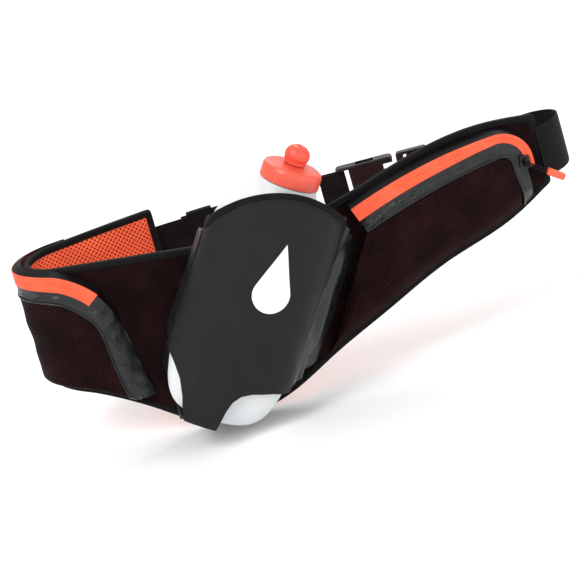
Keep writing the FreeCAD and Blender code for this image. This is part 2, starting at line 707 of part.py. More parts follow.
def pad(body, sketch, length, both=True):
    """Pads a sketch by a formula, about its plane or along its normal."""
    feature = body.newObject("PartDesign::Pad", "Pad")
    feature.Profile = sketch
    feature.Midplane = both
    feature.setExpression("Length", bind(length))
    return feature


def pocket(body, sketch, depth):
    """Cuts a sketch through the body by a formula, equally to both sides of its plane."""
    feature = body.newObject("PartDesign::Pocket", "Pocket")
    feature.Profile = sketch
    feature.Midplane = True
    feature.setExpression("Length", bind(depth))
    return feature


def revolve(body, corners):
    """Turns a polygon of (radius, height) formulas about the body's Z axis."""
    sketch = polygon(body, "XZ_Plane", corners)
    feature = body.newObject("PartDesign::Revolution", "Revolution")
    feature.Profile = sketch
    feature.ReferenceAxis = (sketch, ["V_Axis"])
    feature.Angle = 360
    return feature


def round_edges(body, feature, radius, wanted):
    """Fillets the edges of a feature that the wanted test picks."""
    doc.recompute()
    names = [f"Edge{index}" for index, edge in enumerate(feature.Shape.Edges, start=1) if wanted(edge)]
    fillet = body.newObject("PartDesign::Fillet", "Fillet")
    fillet.Base = (feature, names)
    fillet.Radius = radius
    body.Tip = fillet
    return fillet


def along(axis):
    """A test for straight edges along one of the body's axes."""
    def wanted(edge):
        if edge.Curve.TypeId != "Part::GeomLine":
            return False
        return abs(abs(edge.Curve.Direction.dot(axis)) - 1) < 1e-6
    return wanted


# ---------------------------------------------------------------- buckle and strap fittings

RAIL = "strap_width / 2 + buckle_rail"
BUCKLE_SINK = 0.6  # the flat buckle's share of the strap's curve along it


def make_female():
    """The female buckle: a hollow shell with side windows and a bar for the left strap."""
    body = strap_fitting("buckle_female", size("buckle_x"), size("strap_z"), sink=BUCKLE_SINK)
    outline = polygon(body, "XZ_Plane", box_corners("-25", "19", "-(" + RAIL + ")", RAIL))
    shell = pad(body, outline, "buckle_thick")
    rounded = round_edges(body, shell, 3, along(BACK))
    round_edges(body, rounded, 1.2, lambda edge: edge.Length > 8)
    mouth, deep = RAIL + " - 2.2", RAIL + " - 0.9"
    cavity = polygon(body, "XZ_Plane", [("21", mouth), ("5", deep), ("-11", deep), ("-11", "-(" + deep + ")"),
                                        ("5", "-(" + deep + ")"), ("21", "-(" + mouth + ")")])
    pocket(body, cavity, "buckle_thick - 3.2")
    for side in ("", "-"):
        window = box_corners("-9", "5", side + "(" + RAIL + " - 5)", side + "(" + RAIL + " + 3)")
        pocket(body, polygon(body, "XZ_Plane", window), "buckle_thick - 3.2")
        notch = box_corners("11", "20", side + "(" + RAIL + " - 11.6)", side + "(" + RAIL + " - 4.8)")
        pocket(body, polygon(body, "XZ_Plane", notch), "buckle_thick + 4")
    slot_half = "strap_width / 2 + 0.8"
    slot = polygon(body, "XZ_Plane", box_corners("-21.6", "-15", "-(" + slot_half + ")", slot_half))
    pocket(body, slot, "buckle_thick + 4")
    for low, high in (("1", "9"), ("-9", "-1")):
        thin = polygon(body, "XY_Plane", box_corners("-27", "-21", low, high))
        pocket(body, thin, "2 * (" + slot_half + ")")


def make_male():
    """The male buckle: a ladder frame for the right strap and a middle guide."""
    body = strap_fitting("buckle_male", size("buckle_x"), size("strap_z"), sink=BUCKLE_SINK)
    frame = pad(body, polygon(body, "XZ_Plane", box_corners("22", "46", "-(" + RAIL + ")", RAIL)), "6")
    round_edges(body, frame, 2.5, along(BACK))
    slot_half = "strap_width / 2 + 0.8"
    for left, right in (("37", "42.5"), ("27.5", "33")):
        slot = polygon(body, "XZ_Plane", box_corners(left, right, "-(" + slot_half + ")", slot_half))
        pocket(body, slot, "12")
    for low, high in (("1", "5"), ("-5", "-1")):
        for left, right in (("42", "48"), ("32.5", "37.5")):
            thin = polygon(body, "XY_Plane", box_corners(left, right, low, high))
            pocket(body, thin, "2 * (" + slot_half + ")")
    pad(body, polygon(body, "XZ_Plane", box_corners("-6", "23", "-3", "3")), "5.2")


def make_arm(label, side):
    """One release arm: a springy bar with the thumb catch that fills the female's side window."""
    body = strap_fitting(label, size("buckle_x"), size("strap_z"), sink=BUCKLE_SINK)
    root, lug = "(" + RAIL + " - 15)", "(" + RAIL + " - 1.4)"
    shape = [("21.5", root + " - 1.6"), ("21.5", root + " + 1.8"), ("7", root + " + 5.6"), ("3.6", lug),
             ("-3", lug + " - 1"), ("-7", lug + " - 4"), ("-7.5", root + " + 1"), ("4", root)]
    shape = [(x, side + "(" + z + ")") for x, z in shape]
    arm = pad(body, polygon(body, "XZ_Plane", shape), "5.4")
    round_edges(body, arm, 0.8, along(BACK))


def make_strap_loop(label, x_bar, side, z):
    """Webbing folded round a buckle's bar: a tall U whose legs point away from the buckle."""
    body = strap_fitting(label, size("buckle_x"), z, sink=BUCKLE_SINK)
    tip, inner, end = x_bar, x_bar + " + " + side + "1.8", x_bar + " + " + side + "20.4"
    shape = [(tip, "-3"), (end, "-3"), (end, "-1.2"), (inner, "-1.2"), (inner, "1.2"), (end, "1.2"),
             (end, "3"),
             (tip, "3")]
    loop = pad(body, polygon(body, "XY_Plane", shape), "strap_width")
    round_edges(body, loop, 1.4, bend_edges(size(x_bar)))


def bend_edges(x):
    """A test for the upright edges at one place along the strap."""
    upright = along(UP)

    def wanted(edge):
        return upright(edge) and abs(edge.Vertexes[0].Point.x - x) < 1e-6
    return wanted


def make_keeper():
    """The elastic band that holds the strap's tail down."""
    body = strap_fitting("strap_keeper", size("keeper_x"), size("strap_z"))
    ends = ("-keeper_half", "keeper_half")
    band_shape = pad(body, polygon(body, "XZ_Plane", box_corners(*ends, "-(strap_width / 2 + 3)",
                                                                 "strap_width / 2 + 3")), "9.6")
    round_edges(body, band_shape, 2, along(Vector(1, 0, 0)))
    hole = polygon(body, "YZ_Plane",
                   box_corners("-3.5", "3.5", "-(strap_width / 2 + 0.8)", "strap_width / 2 + 0.8"))
    pocket(body, hole, "2 * keeper_half + 4")


def make_glide():
    """The strap adjuster: a plate with two slots between the webbing's two layers, and raised side rails."""
    body = strap_fitting("strap_glide", size("glide_x"), strap_height(size("glide_x")), strap_slope)
    plate = pad(body, polygon(body, "XZ_Plane", box_corners("-11", "11", "-(" + RAIL + ")", RAIL)), "1.8")
    round_edges(body, plate, 3, along(Vector(0, 1, 0)))
    for side in ("", "-"):
        rail = box_corners("-9", "9", side + "(strap_width / 2 + 1.6)", side + "(" + RAIL + " - 0.8)")
        pad(body, polygon(body, "XZ_Plane", rail), "5.6")
    slot_half = "(strap_width / 2)"
    for left, right in (("-7.5", "-2"), ("2", "7.5")):
        pocket(body, polygon(body, "XZ_Plane", box_corners(left, right, "-" + slot_half, slot_half)), "8")


# ---------------------------------------------------------------- zip sliders and pulls

def slider_frame(point, ahead, outward):
    """A placement at a point of a zip: local X along the zip, Y outward."""
    x_axis = ahead.normalize()
    y_axis = outward.normalize()
    z_axis = x_axis.cross(y_axis)
    return Placement(point, Rotation(x_axis, y_axis, z_axis, "XYZ"))


def front_point(x, z, distance):
    """A point on the belt's front at a distance outward from the lining, and its outward direction."""
    reach = inner_front + distance
    turn = math.asin(x / reach)
    return Vector(x, -(reach * math.cos(turn) - arc_centre), z), Vector(math.sin(turn), -math.cos(turn), 0)


def make_slider(label, place):
    """A zip slider's outer plate with its bail."""
    body = doc.addObject("PartDesign::Body", label)
    plate = pad(body, polygon(body, "XZ_Plane", [
        ("-slider_half", "-2.6"), ("-slider_half + 2", "-4"), ("slider_half", "-3.4"), ("slider_half", "3.4"),
        ("-slider_half + 2", "4"), ("-slider_half", "2.6")]), "1.8")
    round_edges(body, plate, 0.8, along(Vector(0, 1, 0)))
    bail = [("-2.8", "0"), ("-2.8", "4.6"), ("2.8", "4.6"), ("2.8", "0"), ("1.3", "0"), ("1.3", "3.3"),
            ("-1.3", "3.3"), ("-1.3", "0")]
    pad(body, polygon(body, "XY_Plane", bail), "2.4")
    body.Placement = place
    return keep(body, label)


def make_pull(cord_label, grip_label, place):
    """A pull cord through the slider's bail and its moulded grip, along the placement's X axis."""
    length = size("pull_cord")
    radius, level = 1.1, 5.9  # cord's radius, and its middle above the slider
    start = Vector(-1.2, level, 0)
    cord = Part.makeCylinder(radius, length, start, Vector(1, 0, 0))
    cord = cord.fuse(Part.makeSphere(radius, start)).removeSplitter()
    cloth(cord_label, cord, place)
    body = doc.addObject("PartDesign::Body", grip_label)
    ends = ("pull_cord - 1", "pull_cord - 1 + pull_grip")
    grip = pad(body, polygon(body, "XZ_Plane", box_corners(*ends, "-2.6", "2.6")), "4.2")
    round_edges(body, grip, 1.4, along(Vector(0, 1, 0)))
    body.Placement = place.multiply(Placement(Vector(0, level, 0), Rotation()))
    keep(body, grip_label)


def make_right_slider():
    """Slider and pull at the shut end of the right zip, below its bend."""
    top = face_out + size("right_pocket_depth + tape_thick") + SNUG + 0.9
    turn = math.radians(size("slider_rest"))
    tight = size("zip_bend_radius")
    pivot = right_bend()[0]
    x, z = pivot[0] + tight * math.cos(turn), pivot[1] + tight * math.sin(turn)
    point, outward = front_point(x, z, top)
    level = Vector(-outward.y, outward.x, 0)
    place = slider_frame(point, level * -math.sin(turn) + UP * math.cos(turn), outward)
    make_slider("zip_right_slider", place)
    lie = math.radians(size("pull_angle"))
    hang = slider_frame(point, level * math.cos(lie) + UP * math.sin(lie), outward)
    make_pull("zip_right_cord", "zip_right_grip", hang)


def make_left_slider():
    """Slider and pull at the shut end of the left zip, behind the fold."""
    top = face_out + size("left_pocket_depth + tape_thick") + SNUG + 0.9
    radius = size("loop_end_radius") + top
    turn = math.radians(76)
    outward = Vector(-math.cos(turn), math.sin(turn), 0)
    point = Vector(-end_centre, 0, size("left_zip_z")) + outward * radius
    ahead = Vector(math.sin(turn), math.cos(turn), 0)
    make_slider("zip_left_slider", slider_frame(point, ahead, outward))
    make_pull("zip_left_cord", "zip_left_grip", slider_frame(point, UP * -1, outward))


# ---------------------------------------------------------------- bottle

# height above the foot and share of the full size, from the rounded foot up to the straight side
FOOT_LEVELS = ((0, 0.52), (2.6, 0.65), (8, 0.77), (18, 0.88), (32, 0.955), (50, 1))
# share of the shoulder's height and share of the way from the throat out to the full size
SHOULDER_LEVELS = (
    (0, 1), (0.2, 0.955), (0.39, 0.8), (0.567, 0.545), (0.7, 0.3), (0.82, 0.11), (0.93, 0.02), (1, 0),
)


def bottle_level(wide, deep, height):
    """One level of the bottle's loft: an ellipse across its axis."""
    if wide > deep + 0.001:
        curve = Part.Ellipse(Vector(0, 0, height), wide, deep)
    else:
        curve = Part.Circle(Vector(0, 0, height), UP, wide)
    return Part.Wire(curve.toShape())


def bottle_solid(shrink, foot):
    """The bottle's body from its foot to the start of its neck, smaller all round by shrink."""
    wide, deep = size("bottle_half_width") - shrink, size("bottle_half_depth") - shrink
    shoulder, neck = size("shoulder_height"), size("neck_height") - shrink
    throat = size("cap_radius") - 0.5 - shrink
    rise = neck - shoulder
    low = [bottle_level(wide * part, deep * part, foot + height) for height, part in FOOT_LEVELS]
    trunk = Part.makeLoft(low, True)
    straight = Part.Face(low[-1]).extrude(UP * (shoulder - foot - FOOT_LEVELS[-1][0]))
    levels = []
    for climb, part in SHOULDER_LEVELS:
        width, depth = throat + (wide - throat) * part, throat + (deep - throat) * part
        levels.append(bottle_level(width, min(depth, width - 0.01), shoulder + rise * climb))
    return trunk.fuse(straight).fuse(Part.makeLoft(levels, True))


def make_bottle():
    """The squeeze bottle with its threaded neck."""
    wall = size("bottle_wall")
    neck, rim = size("neck_height"), size("rim_height")
    collar = Part.makeCylinder(size("neck_radius"), rim - neck + 0.6, Vector(0, 0, neck - 0.6))
    outer = bottle_solid(0, 0).fuse(collar).fuse(thread(rim))
    bore = Part.makeCylinder(size("neck_bore"), rim - neck + 20, Vector(0, 0, neck - 10))
    cloth("bottle_body", outer.cut(bottle_solid(wall, wall)).cut(bore), bottle_place)


def thread(rim):
    """A little over one turn of thread round the neck."""
    radius, crest, pitch = size("neck_radius"), size("thread_height"), size("thread_pitch")
    height = pitch * 1.2
    base = rim - height - 3.5
    path = Part.makeHelix(pitch, height, radius - 0.2)
    corners = [Vector(radius - 0.3, 0, -1.1), Vector(radius + crest, 0, -0.4), Vector(radius + crest, 0, 0.4),
               Vector(radius - 0.3, 0, 1.1)]
    profile = Part.makePolygon([*corners, corners[0]])
    solid = Part.Wire(path).makePipeShell([profile], True, True)
    solid.translate(Vector(0, 0, base))
    return solid


def bottle_body_part(label):
    """A PartDesign body on the bottle's axis."""
    body = doc.addObject("PartDesign::Body", label)
    body.Placement = bottle_place
    return keep(body, label)


def make_cap():
    """The smooth screw cap with its spout tube."""
    body = bottle_body_part("bottle_cap")
    bore = "neck_radius + thread_height + 0.4"
    ceiling = "rim_height + gasket_thick + 0.2"
    top = ceiling + " + cap_top_thick"
    skirt = ceiling + " - cap_skirt"
    turned = revolve(body, [
        (bore, skirt), ("cap_radius", skirt), ("cap_radius", top + " - 3.6"),
        ("cap_radius - 0.9", top + " - 1.4"), ("cap_radius - 3", top + " - 0.2"), ("cap_radius - 5", top),
        ("spout_radius + 2.4", top + " + 0.8"), ("spout_radius", top + " + 1.2"),
        ("spout_radius", top + " + spout_height"), ("spout_bore", top + " + spout_height"),
        ("spout_bore", ceiling), (bore, ceiling)])
    body.Tip = turned


def make_gasket():
    """The sealing ring between the neck's rim and the cap."""
    body = bottle_body_part("cap_gasket")
    low = "rim_height + 0.1"
    high = "rim_height + 0.1 + gasket_thick"
    revolve(body, [("neck_bore - 1", low), ("neck_radius + 0.6", low), ("neck_radius + 0.6", high),
                   ("neck_bore - 1", high)])


def make_nozzle():
    """The round push-pull nozzle over the cap's spout, with a drinking hole."""
    body = bottle_body_part("bottle_nozzle")
    top = "rim_height + gasket_thick + 0.2 + cap_top_thick"
    base = top + " + 1.9"
    inside = "spout_radius + 0.3"
    roof = top + " + spout_height + 0.3"
    revolve(body, [
        (inside, base), ("nozzle_radius - 1.2", base), ("nozzle_radius - 1.1", base + " + 2"),
        ("nozzle_radius", base + " + 5"), ("nozzle_radius", base + " + 7.6"),
        ("nozzle_radius - 1.2", base + " + 10.6"), ("nozzle_radius - 3.6", base + " + 12.8"),
        ("3", base + " + 13.8"), ("1.6", base + " + 13.2"), ("1.6", roof), (inside, roof)])


# ---------------------------------------------------------------- build and export

make_belt()
make_right_pocket()
make_left_pocket()
make_holster()
make_straps()
make_female()
make_male()
make_arm("release_arm_upper", "")
make_arm("release_arm_lower", "-")
make_strap_loop("strap_loop_right", "29", "", size("strap_z"))
make_strap_loop("strap_loop_left", "-19", "-", size("strap_z"))
make_keeper()
make_glide()
make_right_slider()
make_left_slider()
make_bottle()
make_cap()
make_gasket()
make_nozzle()
doc.recompute()

faults = [item.Label for item in doc.Objects if "Invalid" in item.State or "Error" in item.State]
faults += [piece.Label for piece in parts if piece.Shape.isNull() or not piece.Shape.isValid()]
if faults:
    raise RuntimeError(f"these objects failed: {faults}")
os.makedirs("parts", exist_ok=True)
for piece in parts:
    solids = piece.Shape.Solids
    print(f"{piece.Label:24s} {len(solids)} solid(s) {piece.Shape.Volume:10.1f} mm3")
    piece.Shape.exportStep(f"parts/{piece.Label}.step")
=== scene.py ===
"""Looks of a running waist pack: a padded belt with two zipped pockets, a leaning bottle in its holster,
and an elastic strap with a side-release buckle.

Lengths are in millimetres until a mesh is made, and then in metres.
"""

import logging
import math
from dataclasses import dataclass, field
from enum import Enum
from typing import Optional, Sequence, Union

import bpy
import numpy as np
from mathutils import Matrix, Vector

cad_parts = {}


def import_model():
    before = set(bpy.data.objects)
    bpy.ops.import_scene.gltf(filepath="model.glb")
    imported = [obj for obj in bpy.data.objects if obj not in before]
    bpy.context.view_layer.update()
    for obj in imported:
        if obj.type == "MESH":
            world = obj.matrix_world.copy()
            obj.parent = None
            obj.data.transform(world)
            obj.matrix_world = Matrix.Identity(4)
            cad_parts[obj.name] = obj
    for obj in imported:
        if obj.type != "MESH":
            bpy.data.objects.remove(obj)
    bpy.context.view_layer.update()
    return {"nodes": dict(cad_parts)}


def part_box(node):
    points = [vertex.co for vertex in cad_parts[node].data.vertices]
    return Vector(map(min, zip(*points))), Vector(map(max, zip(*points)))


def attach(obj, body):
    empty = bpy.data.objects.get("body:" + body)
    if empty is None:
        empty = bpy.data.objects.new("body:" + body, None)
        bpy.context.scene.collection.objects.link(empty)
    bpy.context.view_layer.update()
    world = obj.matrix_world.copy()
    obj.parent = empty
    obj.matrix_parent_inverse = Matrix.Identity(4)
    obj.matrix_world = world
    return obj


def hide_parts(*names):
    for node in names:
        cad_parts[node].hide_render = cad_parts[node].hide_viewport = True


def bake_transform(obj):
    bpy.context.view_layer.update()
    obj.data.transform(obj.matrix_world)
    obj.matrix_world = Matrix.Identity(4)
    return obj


MM = 0.001
LOG = logging.getLogger("waist_pack")
Array = np.ndarray
Point = tuple[float, float]
Triple = tuple[float, float, float]
Tint = tuple[float, float, float, float]


class Slot(Enum):
    """The record's material slots that the pieces take their finish from."""

    LINING = "lining_mesh"
    FOAM = "foam_core"
    FACE = "face_mesh"
    BINDING = "binding_tape"
    NYLON = "gusset_nylon"
    POCKET_MESH = "pocket_mesh"
    TAPE = "zip_tape"
    COIL = "zip_coil"
    SHELL = "holster_shell"
    SIDE = "holster_nylon"
    PAD = "pad_foam"
    FILM = "reflective_film"
    WEBBING = "webbing"
    ELASTIC = "elastic_band"
    BUCKLE = "buckle_plastic"
    METAL = "slider_metal"
    CORD = "pull_cord"
    GRIP = "pull_grip"
    BOTTLE = "bottle_plastic"
    CAP = "cap_plastic"
    NOZZLE = "nozzle_plastic"
    GASKET = "gasket_rubber"


class Weave(Enum):
    """How a woven cloth's threads stand out of it."""

    PLAIN = "plain"
    RIB = "rib"
    TWILL = "twill"


# ---------------------------------------------------------------- lines and surfaces


def smooth_line(points: Sequence[Point], count: int = 200) -> Array:
    """Natural cubic spline: each stretch is a cubic, and slope and bend run on from one stretch to the next.

    Args:
        points: The points that the line goes through.
        count: How many points to return.

    Returns:
        The line's points, an array of count rows.
    """
    knots = np.asarray(points, float)
    steps = np.linalg.norm(np.diff(knots, axis=0), axis=1)
    reach = np.concatenate(([0.0], np.cumsum(steps)))
    size = len(knots)
    system, right = np.eye(size), np.zeros_like(knots)
    inner = np.arange(1, size - 1)
    system[inner, inner - 1] = steps[:-1]
    system[inner, inner] = 2 * (steps[:-1] + steps[1:])
    system[inner, inner + 1] = steps[1:]
    right[1:-1] = 6 * np.diff(np.diff(knots, axis=0) / steps[:, None], axis=0)
    bends = np.linalg.solve(system, right)
    place = np.linspace(0, reach[-1], count)
    first = np.clip(np.searchsorted(reach, place, side="right") - 1, 0, size - 2)
    after = ((place - reach[first]) / steps[first])[:, None]
    before = 1 - after
    curve = (before**3 - before) * bends[first] + (after**3 - after) * bends[first + 1]
    return before * knots[first] + after * knots[first + 1] + curve * (steps[first] ** 2 / 6)[:, None]


def circle_of(a: Point, b: Point, c: Point) -> tuple[Array, float]:
    """Centre and radius of the circle through three points: the centre is equally far from all three."""
    a, b, c = (np.asarray(p, float) for p in (a, b, c))
    system = 2 * np.array([b - a, c - a])
    centre = np.linalg.solve(system, np.array([b @ b - a @ a, c @ c - a @ a]))
    return centre, float(np.linalg.norm(a - centre))


def arc(a: Point, b: Point, c: Point, count: int = 60) -> Array:
    """Points of the arc from a through b to c: the angle about its centre runs evenly from a's to c's."""
    centre, radius = circle_of(a, b, c)
    turns = np.unwrap([math.atan2(p[1] - centre[1], p[0] - centre[0]) for p in (a, b, c)])
    angle = np.linspace(turns[0], turns[2], count)
    return centre + radius * np.stack([np.cos(angle), np.sin(angle)], 1)


def even(line: Array, count: int) -> Array:
    """The same line with its points evenly spaced by length, from linear interpolation along it."""
    reach = lengths(line)
    place = np.linspace(0, reach[-1], count)
    return np.stack([np.interp(place, reach, line[:, k]) for k in range(line.shape[1])], 1)


def left_of(line: Array, loop: bool = False) -> Array:
    """Unit vectors to the left of a line in its plane, square to its direction; loop joins its ends."""
    along = np.roll(line, -1, 0) - np.roll(line, 1, 0) if loop else np.gradient(line, axis=0)
    along = along / np.linalg.norm(along, axis=1)[:, None]
    return np.stack([-along[:, 1], along[:, 0]], 1)


def beside(line: Array, distance: Union[float, Array]) -> Array:
    """The line moved to its left by a distance, which may change along it."""
    return line + left_of(line) * np.reshape(distance, (-1, 1))


def stacked(*parts: Union[float, Array]) -> Array:
    """The parts widened to one shape and stacked along a new last axis."""
    return np.stack(np.broadcast_arrays(*parts), -1)


def stretched(values: Array, count: int) -> Array:
    """Values spread evenly over count places, by interpolation between them."""
    return np.interp(np.linspace(0, 1, count), np.linspace(0, 1, len(values)), values)


def between(low: Array, high: Array, count: int) -> Array:
    """Grid of points that run straight from one line to another, point by point."""
    share = np.linspace(0, 1, count)[None, :, None]
    return low[:, None, :] * (1 - share) + high[:, None, :] * share


def rise(share: Array, power: float = 2.0) -> Array:
    """A height that climbs steeply and levels off: one less the power of what is left of the way."""
    return 1 - (1 - np.clip(share, 0, 1)) ** power


def folds(across: Array, along: Array, size: float, seed: int) -> Array:
    """Soft crumples: nine sine waves of about one length, whose directions and phases are drawn once.

    Their sum is divided by four, since nine waves seldom peak together.

    Args:
        across: First coordinate of the cloth, in millimetres.
        along: Second coordinate of the cloth, in millimetres.
        size: Usual length of a wave, in millimetres.
        seed: Seed of the draw.

    Returns:
        Heights of about -1 to 1.
    """
    draw = np.random.default_rng(seed)
    total = np.zeros(np.broadcast(across, along).shape)
    for turn, phase, length in draw.uniform((0, 0, 0.6), (math.pi, 2 * math.pi, 1.7), (9, 3)):
        way = across * math.cos(turn) + along * math.sin(turn)
        total += np.sin(way * 2 * math.pi / (size * length) + phase)
    return total / 4.0


def rounded_profile(half_wide: float, half_thick: float, power: float, count: int = 24) -> Array:
    """Superellipse: the power root of each of the circle's cosine and sine, so its corners are round."""
    angle = np.linspace(0, 2 * math.pi, count, endpoint=False) + math.pi / count
    turn = np.stack([np.cos(angle), np.sin(angle)], 1)
    return np.sign(turn) * np.abs(turn) ** (2 / power) * np.array([half_wide, half_thick])


def grid_piece(name: str, points: Array, uv: Array, ring: bool = False, loop: bool = False,
               capped: bool = False) -> bpy.types.Object:
    """A mesh of four-sided faces over a grid of points.

    Args:
        name: The piece's name.
        points: Rows by columns by three, in millimetres.
        uv: Cloth coordinates in millimetres, with one more row or column where the grid closes.
        ring: Whether each row closes on itself.
        loop: Whether the last row joins the first.
        capped: Whether the first and last rows are filled, each point joined to the one across the ring.

    Returns:
        The new object, facing outwards.
    """
    rows, columns = points.shape[:2]
    row, column = np.meshgrid(np.arange(rows - (not loop)), np.arange(columns - (not ring)), indexing="ij")
    corner_row = np.stack([row, row + 1, row + 1, row], -1).reshape(-1, 4)
    corner_column = np.stack([column, column, column + 1, column + 1], -1).reshape(-1, 4)
    faces = corner_row % rows * columns + corner_column % columns
    cloth = uv[corner_row, corner_column]
    if capped:
        near = np.arange(columns // 2 - 1)
        pairs = np.stack([near, near + 1, columns - 2 - near, columns - 1 - near], -1)
        faces = np.concatenate([faces, pairs, (rows - 1) * columns + pairs[:, ::-1]])
        cloth = np.concatenate([cloth, uv[0][pairs], uv[rows - 1][pairs[:, ::-1]]])
    return mesh_piece(name, points.reshape(-1, 3), faces, cloth)


def mesh_piece(name: str, vertices: Array, faces: Array, cloth: Array) -> bpy.types.Object:
    """A mesh from vertices and four-sided faces, turned outwards by the sign of its enclosed volume."""
    a, b, c, d = (vertices[faces[:, k]] for k in range(4))
    volume = (a * np.cross(b, c)).sum() + (a * np.cross(c, d)).sum()
    if volume < 0:
        faces, cloth = faces[:, ::-1], cloth[:, ::-1]
    mesh = bpy.data.meshes.new(name)
    mesh.from_pydata((vertices * MM).tolist(), [], faces.tolist())
    layer = mesh.uv_layers.new(name="cloth")
    layer.data.foreach_set("uv", np.ascontiguousarray(cloth, np.float32).ravel())
    mesh.shade_smooth()
    mesh.set_sharp_from_angle(angle=math.radians(50))
    made = bpy.data.objects.new(name, mesh)
    bpy.context.scene.collection.objects.link(made)
    return made


def shell_piece(name: str, outer: Array, inner: Array, uv: Array) -> bpy.types.Object:
    """A closed sheet between two grids: a ring goes out along the outer one and back along the inner."""
    ring = np.concatenate([outer, inner[:, ::-1]], 1)
    cloth = np.concatenate([uv, uv[:, ::-1], uv[:, :1]], 1)
    return grid_piece(name, ring, cloth, ring=True, capped=True)


def tube_piece(name: str, rings: Array, along: Array, loop: bool = False) -> bpy.types.Object:
    """A closed tube from rings of points; its cloth coordinates are the lengths along and round it."""
    closed = np.concatenate([rings, rings[:, :1]], 1)
    around = np.cumsum(np.linalg.norm(np.diff(closed, axis=1), axis=2), axis=1).mean(0)
    around = np.concatenate(([0.0], around))
    if loop:
        along = np.append(along, 2 * along[-1] - along[-2])
    uv = stacked(along[:, None], around[None, :])
    return grid_piece(name, rings, uv, ring=True, loop=loop, capped=not loop)


def lengths(path: Array) -> Array:
    """Length along a path at each of its points."""
    return np.concatenate(([0.0], np.cumsum(np.linalg.norm(np.diff(path, axis=0), axis=1))))


def bars_piece(name: str, centres: Array, ways: Array, rises: Array, half: float,
               thick: float) -> bpy.types.Object:
    """Many small round-ended bars, such as stitches or zip teeth, in one mesh.

    Each bar is the same few rings, at a share of its half length along its way, with their points at a
    share of its thickness along the rise and along the third direction.

    Args:
        name: The piece's name.
        centres: Middles of the bars, in millimetres.
        ways: Unit vectors along the bars.
        rises: Unit vectors out of the cloth.
        half: Half a bar's length.
        thick: A bar's half thickness.

    Returns:
        The new object.
    """
    turn = np.linspace(0, 2 * math.pi, 6, endpoint=False)
    share, swell = np.array([[-1.0], [-0.72], [0.72], [1.0]]), np.array([[0.4], [1.0], [1.0], [0.4]])
    form = stacked(share * half, swell * np.cos(turn) * thick, swell * np.sin(turn) * thick).reshape(-1, 3)
    frames = np.stack([ways, rises, np.cross(ways, rises)], 1)
    vertices = (centres[:, None, :] + form[None] @ frames).reshape(-1, 3)
    row, column = (x.ravel() for x in np.meshgrid(np.arange(3), np.arange(6), indexing="ij"))
    after = (column + 1) % 6
    quads = np.stack([row * 6 + column, (row + 1) * 6 + column, (row + 1) * 6 + after, row * 6 + after], -1)
    ends = np.array([[0, 1, 4, 5], [1, 2, 3, 4], [23, 22, 19, 18], [22, 21, 20, 19]])
    quads = np.concatenate([quads, ends])
    faces = (quads[None] + 24 * np.arange(len(centres))[:, None, None]).reshape(-1, 4)
    return mesh_piece(name, vertices, faces, vertices[faces][..., :2])


def spaced(path: Array, normals: Array, pitch: float) -> tuple[Array, Array, Array]:
    """Places at an even pitch along a path, with the direction along it and the normal there."""
    reach = lengths(path)
    place = np.arange(pitch, reach[-1] - pitch / 2, pitch)
    way = np.gradient(path, axis=0)
    found = [np.stack([np.interp(place, reach, a[:, k]) for k in range(3)], 1) for a in (path, way, normals)]
    found[1] /= np.linalg.norm(found[1], axis=1)[:, None]
    found[2] -= (found[2] * found[1]).sum(1)[:, None] * found[1]
    found[2] /= np.linalg.norm(found[2], axis=1)[:, None]
    return found[0], found[1], found[2]


